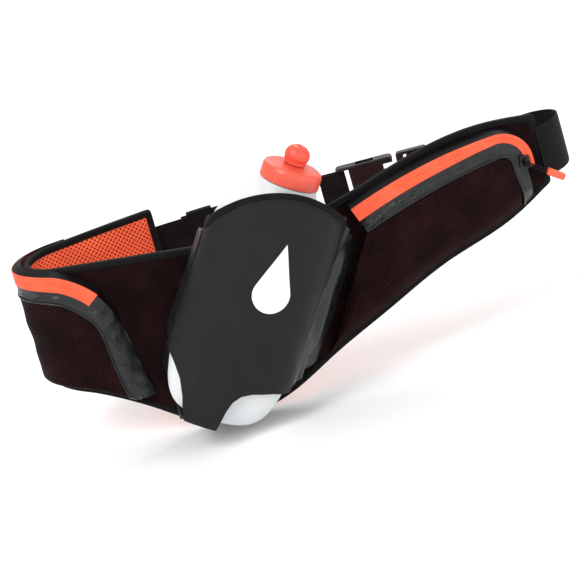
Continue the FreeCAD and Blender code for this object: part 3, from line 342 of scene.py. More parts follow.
@dataclass(frozen=True)
class Oval:
    """The belt's plan: four tangent arcs.

    A place on it is a run from the middle of the front, a height and a distance outside the wearer's side
    of the lining. The run is negative on the wearer's right.
    """

    half_width: float = 200.0
    half_depth: float = 44.0
    end_radius: float = 24.0

    @property
    def long_radius(self) -> float:
        """Radius of the front and back arcs, which are tangent to the end arcs."""
        a, b, r = self.half_width, self.half_depth, self.end_radius
        return (a * a - 2 * a * r + b * b) / (2 * (b - r))

    @property
    def middle(self) -> float:
        """How far the front arc's centre lies behind the middle."""
        return self.long_radius - self.half_depth

    @property
    def half_turn(self) -> float:
        """Angle of half the front arc, from its middle to where the end arc starts."""
        return math.atan2(self.half_width - self.end_radius, self.middle)

    @property
    def front_run(self) -> float:
        """Run at which the front arc meets the end arc."""
        return self.long_radius * self.half_turn

    @property
    def back_run(self) -> float:
        """Run at which the end arc meets the back arc."""
        return self.front_run + self.end_radius * (math.pi - 2 * self.half_turn)

    def run_at(self, x: Union[float, Array], behind: bool = False) -> Array:
        """Run of a place at x across: an arcsine on the long arc and an arccosine on the end arc."""
        across = np.abs(np.asarray(x, float))
        centre = self.half_width - self.end_radius
        sine = np.minimum(across / self.long_radius, math.sin(self.half_turn))
        beyond = math.pi / 2 - self.half_turn - np.arccos(np.clip((across - centre) / self.end_radius, 0, 1))
        found = self.long_radius * np.arcsin(sine) + self.end_radius * np.maximum(beyond, 0)
        if behind:
            found = self.front_run + self.back_run - found
        return np.sign(x) * found

    def normal(self, run: Array) -> Array:
        """Outward direction at a run: it turns with the arc that the run lies on."""
        reach, side = np.abs(run), np.where(np.asarray(run) < 0, -1.0, 1.0)
        angle = np.minimum(reach, self.front_run) / self.long_radius
        angle = angle + np.clip(reach - self.front_run, 0, self.back_run - self.front_run) / self.end_radius
        angle = angle + np.maximum(reach - self.back_run, 0) / self.long_radius
        return np.stack([side * np.sin(angle), -np.cos(angle), np.zeros_like(angle)], -1)

    def wrap(self, run: Array, height: Array, out: Array) -> Array:
        """Place of a run, a height and a distance out: the arc's centre plus its radius along the normal."""
        run, height, out = np.broadcast_arrays(np.asarray(run, float), height, out)
        reach, side = np.abs(run), np.where(run < 0, -1.0, 1.0)
        normal = self.normal(run)
        on_end = (reach > self.front_run) & (reach < self.back_run)
        radius = np.where(on_end, self.end_radius, self.long_radius) + out
        x = normal[..., 0] * radius + side * np.where(on_end, self.half_width - self.end_radius, 0.0)
        centre = np.where(reach < self.back_run, 1.0, -1.0) * self.middle
        y = normal[..., 1] * radius + np.where(on_end, 0.0, centre)
        return np.stack([x, y, height], -1)


PLAN = Oval()


def wrapped_tube(name: str, line: Array, profile: Array, loop: bool = False,
                 wide: Union[float, Array] = 1.0) -> bpy.types.Object:
    """A tape along a line on the belt: each profile point is moved square to the line and out of the belt.

    Args:
        name: The piece's name.
        line: Run and height of the tape's middle.
        profile: Offset to the line's left and distance out, for the points round the tape.
        loop: Whether the line is closed.
        wide: Share by which the offsets change along the line.

    Returns:
        The new object.
    """
    offset = np.reshape(wide, (-1, 1)) * profile[None, :, 0]
    place = line[:, None, :] + left_of(line, loop)[:, None, :] * offset[..., None]
    rings = PLAN.wrap(place[..., 0], place[..., 1], profile[None, :, 1])
    return tube_piece(name, rings, lengths(line), loop)


def wrapped_shell(name: str, cloth: Array, outer: Array, inner: Array) -> bpy.types.Object:
    """A sheet on the belt between two distances out, over a grid of runs and heights."""
    run, height = cloth[..., 0], cloth[..., 1]
    return shell_piece(name, PLAN.wrap(run, height, outer), PLAN.wrap(run, height, inner), cloth)


def flat_size(grid: Array) -> tuple[tuple[float, float], float]:
    """Flat width, length and area of cloth on a grid, in metres: longest lines, and faces added up."""
    wide = np.linalg.norm(np.diff(grid, axis=0), axis=2).sum(0).max()
    long = np.linalg.norm(np.diff(grid, axis=1), axis=2).sum(1).max()
    one, other = grid[1:, 1:] - grid[:-1, :-1], grid[:-1, 1:] - grid[1:, :-1]
    area = np.linalg.norm(np.cross(one, other), axis=2).sum() / 2
    return (float(wide) * MM, float(long) * MM), float(area) * MM * MM


# ---------------------------------------------------------------- finishes


def tint(red: float, green: float, blue: float) -> Tint:
    """Linear colour of a screen colour from 0 to 255, by the screen's gamma curve."""
    share = np.array([red, green, blue]) / 255
    linear = np.where(share <= 0.04045, share / 12.92, ((share + 0.055) / 1.055) ** 2.4)
    return (float(linear[0]), float(linear[1]), float(linear[2]), 1.0)


class Bench:
    """Where one material's nodes are put together."""

    def __init__(self, name: str) -> None:
        """Start a material with a shader and an output."""
        self.material = bpy.data.materials.new(name)
        self.material.use_nodes = True
        self.nodes = self.material.node_tree.nodes
        self.nodes.clear()
        self.shader = self.put("ShaderNodeBsdfPrincipled")
        output = self.put("ShaderNodeOutputMaterial")
        self.material.node_tree.links.new(self.shader.outputs[0], output.inputs["Surface"])

    def put(self, kind: str, setting: Optional[dict] = None, **sockets) -> bpy.types.Node:
        """Add a node.

        Args:
            kind: The node's type.
            setting: Values of the node's own properties.
            sockets: Values of, or links into, its inputs. A name has an underscore for each space, and an
                input without a name of its own is an underscore and its number.

        Returns:
            The new node.
        """
        node = self.nodes.new(kind)
        for key, value in (setting or {}).items():
            setattr(node, key, value)
        for key, value in sockets.items():
            name = int(key[1:]) if key[1:].isdigit() else key.replace("_", " ")
            self.feed(node.inputs[name], value)
        return node

    def feed(self, socket: bpy.types.NodeSocket, value) -> None:
        """Link a socket into an input, or set the input's value."""
        if isinstance(value, bpy.types.NodeSocket):
            self.material.node_tree.links.new(value, socket)
        else:
            socket.default_value = value

    def sum(self, operation: str, first, second=0.0, third=0.0) -> bpy.types.NodeSocket:
        """Result of one arithmetic step."""
        return self.put("ShaderNodeMath", {"operation": operation}, _0=first, _1=second, _2=third).outputs[0]

    def cloth(self) -> bpy.types.NodeSocket:
        """Coordinates of the cloth itself, in millimetres."""
        return self.put("ShaderNodeUVMap", {"uv_map": "cloth"}).outputs[0]

    def space(self) -> bpy.types.NodeSocket:
        """Coordinates of the object at rest, in millimetres."""
        place = self.put("ShaderNodeTexCoord").outputs["Object"]
        return self.put("ShaderNodeVectorMath", {"operation": "SCALE"}, _0=place, Scale=1000.0).outputs[0]

    def moved(self, vector: bpy.types.NodeSocket, turn: float = 0.0, scale: Triple = (1, 1, 1)):
        """The coordinates turned about their third axis, in degrees, and scaled."""
        turned = (0, 0, math.radians(turn))
        return self.put("ShaderNodeMapping", Vector=vector, Rotation=turned, Scale=scale).outputs[0]

    def noise(self, vector: bpy.types.NodeSocket, size: float, detail: float = 2.0) -> bpy.types.NodeSocket:
        """Cloudy grey whose clouds are about size millimetres across."""
        return self.put("ShaderNodeTexNoise", Vector=vector, Scale=1 / size, Detail=detail).outputs[0]

    def thread(self, vector: bpy.types.NodeSocket, axis: int, pitch: float) -> bpy.types.NodeSocket:
        """Rounded ridges, one every pitch millimetres along an axis: half of one plus a sine."""
        part = self.put("ShaderNodeSeparateXYZ", Vector=vector).outputs[axis]
        wave = self.sum("SINE", self.sum("MULTIPLY", part, 2 * math.pi / pitch))
        return self.sum("MULTIPLY_ADD", wave, 0.5, 0.5)

    def level(self, value, low: float, high: float, start: float = 0.0,
              end: float = 1.0) -> bpy.types.NodeSocket:
        """A value stretched smoothly from one range to another."""
        return self.put("ShaderNodeMapRange", {"interpolation_type": "SMOOTHSTEP"}, Value=value, From_Min=low,
                        From_Max=high, To_Min=start, To_Max=end).outputs[0]

    def blend(self, share, first, second) -> bpy.types.NodeSocket:
        """A colour part of the way from the first to the second."""
        return self.put("ShaderNodeMix", {"data_type": "RGBA"}, _0=share, _6=first, _7=second).outputs[2]

    def finish(self, colour, roughness, height=None, relief: float = 0.3,
               **constants: Union[float, Triple]) -> None:
        """Feed the shader.

        Args:
            colour: Base colour.
            roughness: Roughness.
            height: Relief from 0 to 1, or None.
            relief: Height of the relief in millimetres.
            constants: Shader values that are the same all over, set on its own sockets.
        """
        self.feed(self.shader.inputs["Base Color"], colour)
        self.feed(self.shader.inputs["Roughness"], roughness)
        for key, value in constants.items():
            self.shader.inputs[key.replace("_", " ")].default_value = value
        if height is not None:
            bump = self.put("ShaderNodeBump", Strength=1.0, Distance=relief * MM, Height=height)
            self.feed(self.shader.inputs["Normal"], bump.outputs[0])


@dataclass(frozen=True)
class Net:
    """Knitted mesh: round holes on a slanting grid, with a darker or brighter ground behind them."""

    yarn: Tint
    ground: Tint
    pitch: float = 2.2
    hole: float = 0.3
    relief: float = 0.35
    rough: float = 0.8
    cloudy: float = 0.25
    gloss: float = 0.1

    def make(self, name: str) -> bpy.types.Material:
        """The distance to the nearest grid point tells yarn from hole; clouds shade both a little."""
        bench = Bench(name)
        place = bench.cloth()
        grid = bench.moved(place, 45, (1 / self.pitch, 1 / self.pitch, 1))
        cell = bench.put("ShaderNodeTexVoronoi", {"voronoi_dimensions": "2D"}, Vector=grid, Scale=1.0,
                         Randomness=0.0)
        yarn = bench.level(cell.outputs["Distance"], self.hole - 0.09, self.hole + 0.09)
        cloud = bench.noise(place, 26, 4)
        fibre = bench.noise(place, 0.5)
        shade = bench.level(cloud, 0.35, 0.68, 1 - self.cloudy, 1 + self.cloudy)
        shade = bench.sum("MULTIPLY", shade, bench.level(fibre, 0.2, 0.8, 0.88, 1.12))
        colour = bench.blend(yarn, self.ground, self.yarn)
        colour = bench.put("ShaderNodeVectorMath", {"operation": "SCALE"}, _0=colour, Scale=shade).outputs[0]
        height = bench.sum("MULTIPLY_ADD", fibre, 0.15, yarn)
        bench.finish(colour, self.rough, height, self.relief, Specular_IOR_Level=self.gloss)
        return bench.material


@dataclass(frozen=True)
class Woven:
    """Woven or ribbed cloth with fine creases."""

    yarn: Tint
    light: Tint
    weave: Weave = Weave.PLAIN
    pitch: float = 0.9
    relief: float = 0.12
    rough: float = 0.6
    crease: float = 0.0
    crease_size: float = 9.0
    gloss: float = 0.12

    def make(self, name: str) -> bpy.types.Material:
        """Ridges of thread by the weave: crossed, in ribs, or slanting; noise makes creases."""
        bench = Bench(name)
        place = bench.cloth()
        if self.weave is Weave.PLAIN:
            first, second = (bench.thread(place, axis, self.pitch) for axis in (0, 1))
            ridge = bench.sum("MAXIMUM", first, second)
        elif self.weave is Weave.RIB:
            fine = bench.thread(place, 1, self.pitch * 1.7)
            ridge = bench.sum("MULTIPLY_ADD", fine, 0.3, bench.thread(place, 0, self.pitch))
        else:
            ridge = bench.thread(bench.moved(place, 32), 0, self.pitch)
        cloud = bench.noise(place, 19, 4)
        fibre = bench.noise(place, 0.35)
        share = bench.sum("MULTIPLY_ADD", ridge, 0.45, bench.level(cloud, 0.35, 0.7, 0, 0.55))
        colour = bench.blend(share, self.yarn, self.light)
        height = bench.sum("MULTIPLY_ADD", fibre, 0.2, ridge)
        if self.crease:
            fold = bench.noise(place, self.crease_size, 3)
            height = bench.sum("MULTIPLY_ADD", fold, self.crease / self.relief, height)
        rough = bench.level(cloud, 0.3, 0.7, self.rough - 0.06, self.rough + 0.06)
        bench.finish(colour, rough, height, self.relief, Specular_IOR_Level=self.gloss)
        return bench.material


@dataclass(frozen=True)
class Moulded:
    """Moulded plastic, rubber or enamel: a fine grain, and faint cloudiness in colour and gloss."""

    base: Tint
    rough: float = 0.4
    grain: float = 0.5
    relief: float = 0.02
    metal: float = 0.0
    coat: float = 0.0
    depth: float = 0.0
    worn: float = 0.1
    gloss: float = 0.5

    def make(self, name: str) -> bpy.types.Material:
        """Noise gives the grain's relief; larger clouds vary the colour and the roughness."""
        bench = Bench(name)
        place = bench.space()
        cloud = bench.noise(place, 14, 4)
        lighter = tuple(min(1.0, x * (1 + 2 * self.worn) + 0.01 * self.worn) for x in self.base[:3]) + (1.0,)
        colour = bench.blend(bench.level(cloud, 0.4, 0.75), self.base, lighter)
        rough = bench.level(cloud, 0.3, 0.7, self.rough - 0.05, self.rough + 0.07)
        bench.finish(colour, rough, bench.noise(place, self.grain, 3), self.relief, Metallic=self.metal,
                     Coat_Weight=self.coat, Coat_Roughness=0.2, Subsurface_Weight=self.depth,
                     Subsurface_Scale=0.004, Specular_IOR_Level=self.gloss)
        return bench.material


@dataclass(frozen=True)
class Frosted:
    """Milky squeeze plastic that lets light through, a little greyer in soft clouds."""

    base: Tint = field(default_factory=lambda: tint(243, 245, 247))
    low: Tint = field(default_factory=lambda: tint(222, 228, 232))

    def make(self, name: str) -> bpy.types.Material:
        """Clouds mix the two tints; light scatters inside the wall."""
        bench = Bench(name)
        place = bench.space()
        cloud = bench.noise(place, 38, 3)
        colour = bench.blend(bench.level(cloud, 0.35, 0.7), self.base, self.low)
        bench.finish(colour, bench.level(cloud, 0.3, 0.7, 0.34, 0.44), bench.noise(place, 1.2, 3), 0.03,
                     Subsurface_Weight=0.5, Subsurface_Scale=0.008, Subsurface_Radius=(1.0, 1.0, 1.0))
        return bench.material


@dataclass(frozen=True)
class Film:
    """Reflective film: a bright satin sheet with a fine honeycomb under it."""

    base: Tint = field(default_factory=lambda: tint(238, 242, 244))

    def make(self, name: str) -> bpy.types.Material:
        """The distance to the edges of small cells darkens the film a little and gives it relief."""
        bench = Bench(name)
        cells = bench.put("ShaderNodeTexVoronoi", {"feature": "DISTANCE_TO_EDGE"}, Vector=bench.cloth(),
                          Scale=0.8, Randomness=0.4)
        edge = bench.level(cells.outputs["Distance"], 0.0, 0.12)
        colour = bench.blend(edge, tint(214, 220, 224), self.base)
        bench.finish(colour, 0.32, edge, 0.03, Metallic=0.1, Coat_Weight=0.3, Coat_Roughness=0.15)
        return bench.material


Finish = Union[Net, Woven, Moulded, Frosted, Film]
FINISHES: dict[Slot, Finish] = {
    Slot.LINING: Net(tint(242, 108, 70), tint(140, 36, 20), 2.7, 0.26, 0.7, 0.75, 0.08, 0.15),
    Slot.FOAM: Moulded(tint(16, 16, 17), 0.9, 0.7, 0.25, gloss=0.1),
    Slot.FACE: Net(tint(14, 8, 8), tint(52, 12, 13), 1.9, 0.24, 0.25, 0.72, 0.4, 0.06),
    Slot.BINDING: Woven(tint(8, 8, 8), tint(20, 20, 21), Weave.TWILL, 1.1, 0.1, 0.62),
    Slot.NYLON: Woven(tint(12, 13, 14), tint(30, 32, 34), Weave.PLAIN, 0.7, 0.05, 0.3, 0.45, 11, 0.4),
    Slot.POCKET_MESH: Net(tint(16, 9, 9), tint(58, 13, 14), 2.1, 0.25, 0.28, 0.7, 0.35, 0.06),
    Slot.TAPE: Woven(tint(238, 84, 54), tint(248, 110, 78), Weave.TWILL, 0.9, 0.04, 0.46),
    Slot.COIL: Moulded(tint(190, 60, 40), 0.3, 0.4, 0.01),
    Slot.SHELL: Woven(tint(17, 16, 17), tint(28, 27, 28), Weave.PLAIN, 1.0, 0.05, 0.55, 0.1, 30, 0.22),
    Slot.SIDE: Woven(tint(13, 15, 16), tint(32, 35, 37), Weave.PLAIN, 0.7, 0.05, 0.3, 0.5, 13, 0.45),
    Slot.PAD: Moulded(tint(14, 14, 15), 0.85, 0.9, 0.3, gloss=0.1),
    Slot.FILM: Film(),
    Slot.WEBBING: Woven(tint(8, 8, 8), tint(24, 24, 25), Weave.RIB, 1.5, 0.2, 0.66, gloss=0.1),
    Slot.ELASTIC: Woven(tint(8, 8, 8), tint(22, 22, 23), Weave.RIB, 1.2, 0.25, 0.7, gloss=0.1),
    Slot.BUCKLE: Moulded(tint(11, 11, 12), 0.42, 0.35, 0.03, worn=0.3, gloss=0.35),
    Slot.METAL: Moulded(tint(14, 14, 15), 0.3, 0.4, 0.01, 0.5, 0.3, gloss=0.4),
    Slot.CORD: Woven(tint(10, 10, 10), tint(28, 28, 29), Weave.TWILL, 0.8, 0.15, 0.7),
    Slot.GRIP: Moulded(tint(240, 92, 62), 0.45, 0.5, 0.03, depth=0.1),
    Slot.BOTTLE: Frosted(),
    Slot.CAP: Moulded(tint(226, 84, 62), 0.4, 0.5, 0.01, coat=0.1, depth=0.1, worn=0.04),
    Slot.NOZZLE: Moulded(tint(224, 78, 58), 0.42, 0.5, 0.015, depth=0.15, worn=0.04),
    Slot.GASKET: Moulded(tint(214, 216, 216), 0.5, 0.5, 0.02, depth=0.3),
}
THREAD = Moulded(tint(26, 26, 27), 0.7, 0.2, 0.05, gloss=0.15)
# Painted shade: the pocket side wall's nylon darkened to near black, standing in for the shadow under the
# zip.
PAINTED_SHADE_NYLON = Woven(tint(7, 7, 8), tint(15, 15, 16), Weave.PLAIN, 0.7, 0.05, 0.5, 0.3, 11, 0.1)


class Wardrobe:
    """The materials, each made once, when the first piece asks for it."""

    def __init__(self) -> None:
        """Start with none made."""
        self.made: dict[str, bpy.types.Material] = {}

    def of(self, slot: Slot) -> bpy.types.Material:
        """The material of a slot."""
        return self.own(slot.value, FINISHES[slot])

    def own(self, name: str, finish: Finish) -> bpy.types.Material:
        """The material of a finish under a name of its own."""
        if name not in self.made:
            self.made[name] = finish.make(name)
        return self.made[name]


# ---------------------------------------------------------------- sub-assemblies


@dataclass
class SubAssembly:
    """A group of pieces on one body, dressed from one wardrobe."""

    wardrobe: Wardrobe
    body: str = "pack"

    def fit(self, piece: bpy.types.Object, slot: Slot, *nodes: str, body: Optional[str] = None,
            material: Optional[bpy.types.Material] = None) -> bpy.types.Object:
        """Dress a new piece, let it ride on its body and stand for its CAD nodes.

        Args:
            piece: The new piece.
            slot: The material slot it belongs to.
            nodes: The CAD nodes that it stands for.
            body: The body, if it isn't the group's own, or an empty text to leave the piece on no body.
            material: Its material, if it isn't the slot's own.

        Returns:
            The piece.
        """
        piece.data.materials.append(material or self.wardrobe.of(slot))
        if body != "":
            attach(piece, body or self.body)
        if nodes:
            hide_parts(*nodes)
        LOG.info("%s: %d faces, %s", piece.name, len(piece.data.polygons), slot.value)
        return piece

    def sew(self, name: str, rows: Sequence[tuple[Array, Array]], pitch: float = 3.2, half: float = 1.05,
            thick: float = 0.24, slot: Slot = Slot.BINDING, finish: Finish = THREAD) -> bpy.types.Object:
        """Stitches along one or more rows, each row a path with its normals."""
        found = [spaced(path, normals, pitch) for path, normals in rows]
        centres, ways, rises = (np.concatenate(part) for part in zip(*found))
        piece = bars_piece(name, centres, ways, rises, half, thick)
        return self.fit(piece, slot, material=self.wardrobe.own(f"{name}_thread", finish))

    def panel(self, piece: bpy.types.Object, grid: Array, held: str, *rests_on: str) -> None:
        """Log a sewn panel's flat size and area.

        Args:
            piece: The panel.
            grid: Its outer surface, whose longest lines and area are its flat size.
            held: How the cloth is held; not used.
            rests_on: What it lies on; not used.
        """
        flat, area = flat_size(grid)
        LOG.info("%s: flat %.0f by %.0f mm, %.0f cm2", piece.name, flat[0] / MM, flat[1] / MM, area * 1e4)

    def dress(self, node: bpy.types.Object, slot: Slot) -> None:
        """Give a CAD node that keeps its shape its finish."""
        node.material_slots[0].material = self.wardrobe.of(slot)
        LOG.info("%s keeps its CAD shape, %s", node.name, slot.value)


@dataclass
class Belt(SubAssembly):
    """The padded belt: lining, pad, face and the binding round their edge."""

    return_x: float = 103.0
    binding_wide: float = 5.0
    cloth_inset: float = 3.8
    lining_thick: float = 1.3
    face_thick: float = 0.7
    front_thread: float = 5.55
    back_thread: float = 0.15
    top_points: tuple[Point, ...] = (
        (-200, 27), (-98.5, 20), (0, 17), (41, 25.5), (94, 40), (147, 45), (187, 39))
    low_points: tuple[Point, ...] = (
        (-200, -67), (-178, -75), (-157.5, -85), (-134.5, -99), (-110.5, -114), (-70.5, -119),
        (-32.5, -108), (-0.5, -91), (47.5, -69), (100, -47), (150, -33), (187, -15))

    def edge(self, low: bool) -> Array:
        """The belt's upper or lower edge, as runs and heights from the returned end to the right end."""
        front = smooth_line(self.low_points if low else self.top_points, 240)
        front[:, 0] = PLAN.run_at(front[:, 0])
        start = [float(PLAN.run_at(-self.return_x, behind=True)), -24.0 if low else 30.0]
        back = np.linspace(start, front[0], 60)[:-1]
        return even(np.concatenate([back, front]), 420)

    def height_at(self, run: Array, low: bool) -> Array:
        """Height of an edge at a run, by interpolation along it."""
        line = self.edge(low)
        return np.interp(run, line[:, 0], line[:, 1])

    def field(self, inset: float, rows: int = 300, columns: int = 60) -> Array:
        """Grid of runs and heights over the whole belt, moved in from its edges."""
        ends = self.edge(False)[[0, -1], 0] + np.array([inset, -inset])
        run = np.linspace(ends[0], ends[1], rows)
        low = np.stack([run, self.height_at(run, True) + inset * 1.08], 1)
        high = np.stack([run, self.height_at(run, False) - inset * 1.02], 1)
        return between(low, high, columns)

    def outline(self) -> Array:
        """The closed edge: along the top, down the right end, back along the bottom and up the returned end.

        Its corners are rounded by a running mean of the evenly spaced points.
        """
        top, low = self.edge(False), self.edge(True)[::-1]
        line = even(np.concatenate([top, low, top[:1]]), 901)[:-1]
        window = np.hanning(9)[1:-1]
        window = window / window.sum()
        reach = len(window) // 2
        return sum(share * np.roll(line, step - reach, 0) for step, share in enumerate(window))

    def edge_share(self, cloth: Array, wide: float) -> Array:
        """How far each point of the field is from its edges, from 0 at an edge to 1 at a width and more."""
        low, high = cloth[:, :1, 1], cloth[:, -1:, 1]
        near = np.minimum(cloth[..., 1] - low, high - cloth[..., 1])
        ends = np.minimum(cloth[..., 0] - cloth[0, 0, 0], cloth[-1, 0, 0] - cloth[..., 0])
        return np.clip(np.minimum(near, ends) / wide, 0, 1)

    def make(self) -> None:
        """Build the belt's pieces."""
        cloth = self.field(self.cloth_inset)
        share = rise(self.edge_share(cloth, 16))
        run, height = cloth[..., 0], cloth[..., 1]
        soft = folds(run, height, 46, 3) * share
        inner = 1.0 - share + 0.25 * soft
        lining = wrapped_shell("belt_lining", cloth, inner + self.lining_thick, inner)
        self.fit(lining, Slot.LINING, "lumbar_lining")
        self.panel(lining, PLAN.wrap(run, height, inner), "stretched", "lumbar_foam")
        core = self.field(self.binding_wide, 200, 40)
        swell = rise(self.edge_share(core, 20))
        pad = wrapped_shell("belt_pad", core, 3.9 + 0.7 * swell, 2.4 - 0.7 * swell)
        self.fit(pad, Slot.FOAM, "lumbar_foam")
        crease = folds(run, height, 34, 8) * 0.45 + folds(run * 0.4 + height, run, 16, 9) * 0.2
        outer = 4.9 + 0.8 * share + crease * share
        face = wrapped_shell("belt_face", cloth, outer, outer - self.face_thick)
        self.fit(face, Slot.FACE, "lumbar_face")
        self.panel(face, PLAN.wrap(run, height, outer), "stretched", "lumbar_foam")
        outline = self.outline()
        profile = rounded_profile(self.binding_wide / 2 + 0.25, 2.75, 3.2)
        profile = profile + np.array([-self.binding_wide / 2, 2.85])
        self.fit(wrapped_tube("belt_binding", outline, profile, loop=True), Slot.BINDING, "edge_binding")
        inside = beside(outline, -self.binding_wide + 1.3)
        normal = PLAN.normal(inside[:, 0])
        rows = [(PLAN.wrap(inside[:, 0], inside[:, 1], self.front_thread), normal),
                (PLAN.wrap(inside[:, 0], inside[:, 1], self.back_thread), -normal)]
        self.sew("belt_stitching", rows)


@dataclass
class ZipPocket(SubAssembly):
    """A pocket on the belt's front: zip, nylon strip, mesh cover and side wall."""

    side: str = "right"
    centre: Optional[Array] = None
    strip_outer: Optional[Array] = None
    strip_inner: Optional[Array] = None
    cover_top: Optional[Array] = None
    cover_low: Optional[Array] = None
    border: Optional[Array] = None
    belt: Optional[Belt] = None
    full: float = 17.0
    base: float = 6.1
    climb: float = 20.0
    half_wide: Optional[Array] = None
    seed: int = 11
    cover_thick: float = 0.7
    strip_thick: float = 0.6
    piping_radius: float = 0.7
    tooth_pitch: float = 1.4

    @property
    def widths(self) -> Array:
        """Half the tape's width at each point of the zip's line."""
        return stretched(self.half_wide, len(self.centre))

    def out_at(self, cloth: Array) -> Array:
        """How far out the cloth stands: it climbs from the belt beside the lower edge and the border."""
        run, height = cloth[..., 0], cloth[..., 1]
        lift = rise((height - self.belt.height_at(run, True) - 3.5) / self.climb, 2.4)
        order = np.argsort(self.border[:, 1])
        edge = np.interp(height, self.border[order, 1], self.border[order, 0])
        away = (run - edge) if self.side == "right" else (edge - run)
        lift = np.minimum(lift, rise((away + 1.0) / 16, 2.2))
        if self.side == "left":
            lift = np.minimum(lift, rise((run - self.centre[0, 0] + 3) / 16, 2.0))
        return self.base + (self.full - self.base) * lift

    def under_tape(self, cloth: Array) -> Array:
        """0 where the zip's tapes lie on the cloth, and 1 from 4 mm beside them."""
        step = self.centre[::6]
        near = np.linalg.norm(cloth[:, :, None, :] - step[None, None], axis=3).min(2)
        return np.clip((near - float(self.half_wide.max())) / 4, 0, 1)

    def make_cover(self) -> None:
        """The mesh cover, crowned and softly dimpled between the strip and the lower edge."""
        cloth = between(even(self.cover_low, 150), even(self.cover_top, 150), 60)
        run, height = cloth[..., 0], cloth[..., 1]
        edge = np.sin(np.linspace(0, math.pi, 60))[None, :] ** 0.6
        dimple = folds(run, height, 42, self.seed) * 0.9
        dimple = dimple + folds(run * 0.5 + height, run, 17, self.seed + 1) * 0.28
        out = self.out_at(cloth) + dimple * edge
        cover = wrapped_shell(f"{self.side}_pocket_cover", cloth, out, out - self.cover_thick)
        self.fit(cover, Slot.POCKET_MESH, f"pocket_{self.side}_cover")
        self.panel(cover, PLAN.wrap(run, height, out), "stretched", "lumbar_face")

    def make_strip(self) -> None:
        """The nylon strip beside the zip, gathered into small ripples across it."""
        cloth = between(self.strip_inner, self.strip_outer, 26)
        run, height = cloth[..., 0], cloth[..., 1]
        along = lengths((self.strip_inner + self.strip_outer) / 2)[:, None]
        across = np.linspace(0, 1, 26)[None, :]
        gather = folds(along, across * 14, 13, self.seed + 4) * 0.8
        gather = gather + folds(along, across * 30, 6, 5) * 0.25
        ripple = 1.3 * gather * np.sin(across * math.pi) ** 0.8 * self.under_tape(cloth)
        out = self.out_at(cloth) + 0.1 + ripple
        strip = wrapped_shell(f"{self.side}_pocket_strip", cloth, out, out - self.strip_thick)
        self.fit(strip, Slot.NYLON, f"pocket_{self.side}_strip")
        self.panel(strip, PLAN.wrap(run, height, out), "gathered", "lumbar_face")
        line = self.strip_inner
        level = self.out_at(line) + 0.55
        turn = np.linspace(0, 2 * math.pi, 8, endpoint=False)
        aside, above = self.piping_radius * np.cos(turn), self.piping_radius * np.sin(turn)
        place = line[:, None, :] + left_of(line)[:, None, :] * aside[None, :, None]
        rings = PLAN.wrap(place[..., 0], place[..., 1], level[:, None] + above[None, :])
        self.fit(tube_piece(f"{self.side}_pocket_piping", rings, lengths(line)), Slot.NYLON)

    def make_zip(self) -> None:
        """The coated tapes with their middle groove, the teeth behind them and the stitches beside them."""
        half = [(-1, 0.25), (-0.9, 0.62), (-0.5, 0.66), (-0.12, 0.72), (0.0, 0.3)]
        top = half + [(-across, level) for across, level in half[-2::-1]]
        half = [(1, 0.0), (0.5, -0.05), (0.1, -0.05), (0.02, -0.05), (0.0, -0.05)]
        under = half + [(-across, level) for across, level in half[-2::-1]]
        profile = np.array(top + under) + np.array([0, self.full - 0.15])
        tape = wrapped_tube(f"{self.side}_zip_tapes", self.centre, profile, wide=self.widths)
        self.fit(tape, Slot.TAPE, f"zip_{self.side}_tape")
        run, height = self.centre[:, 0], self.centre[:, 1]
        path, normal = PLAN.wrap(run, height, self.full - 0.6), PLAN.normal(run)
        centres, ways, rises = spaced(path, normal, self.tooth_pitch)
        teeth = bars_piece(f"{self.side}_zip_teeth", centres, np.cross(ways, rises), rises, 1.7, 0.45)
        self.fit(teeth, Slot.COIL, f"zip_{self.side}_coil")
        rows = []
        wide_part = self.widths > 4.9
        for share in (-0.9, 0.9):
            line = beside(self.centre, self.widths * share)[wide_part]
            rows.append((PLAN.wrap(line[:, 0], line[:, 1], self.full + 0.5), PLAN.normal(line[:, 0])))
        self.sew(f"{self.side}_zip_stitching", rows, 2.4, 0.8, 0.16, Slot.TAPE, FINISHES[Slot.GRIP])

    def make_wall(self) -> None:
        """The side wall from the belt's face up to the zip: a thin bowed profile along its outer edge,
        dressed in nylon darkened to near black as painted shade.
        """
        share = np.linspace(0, 1, 12)
        level = self.base - 0.2 + (self.full - self.base + 0.1) * share
        bow = 2.6 * (1 - share) ** 2 + 0.7 * np.sin(share * math.pi)
        profile = np.concatenate([np.stack([bow + 0.5, level], 1), np.stack([bow - 0.4, level], 1)[::-1]])
        line = beside(self.centre, self.widths - 0.6)
        wall = wrapped_tube(f"{self.side}_pocket_wall_painted_shade", line, profile)
        # Painted shade: the wall takes a darker copy of the nylon instead of the slot's own.
        cloth = self.wardrobe.own("pocket_wall_painted_shade", PAINTED_SHADE_NYLON)
        self.fit(wall, Slot.NYLON, f"pocket_{self.side}_gusset", material=cloth)

    def make(self) -> None:
        """Build the pocket's pieces."""
        self.make_wall()
        self.make_cover()
        self.make_strip()
        self.make_zip()


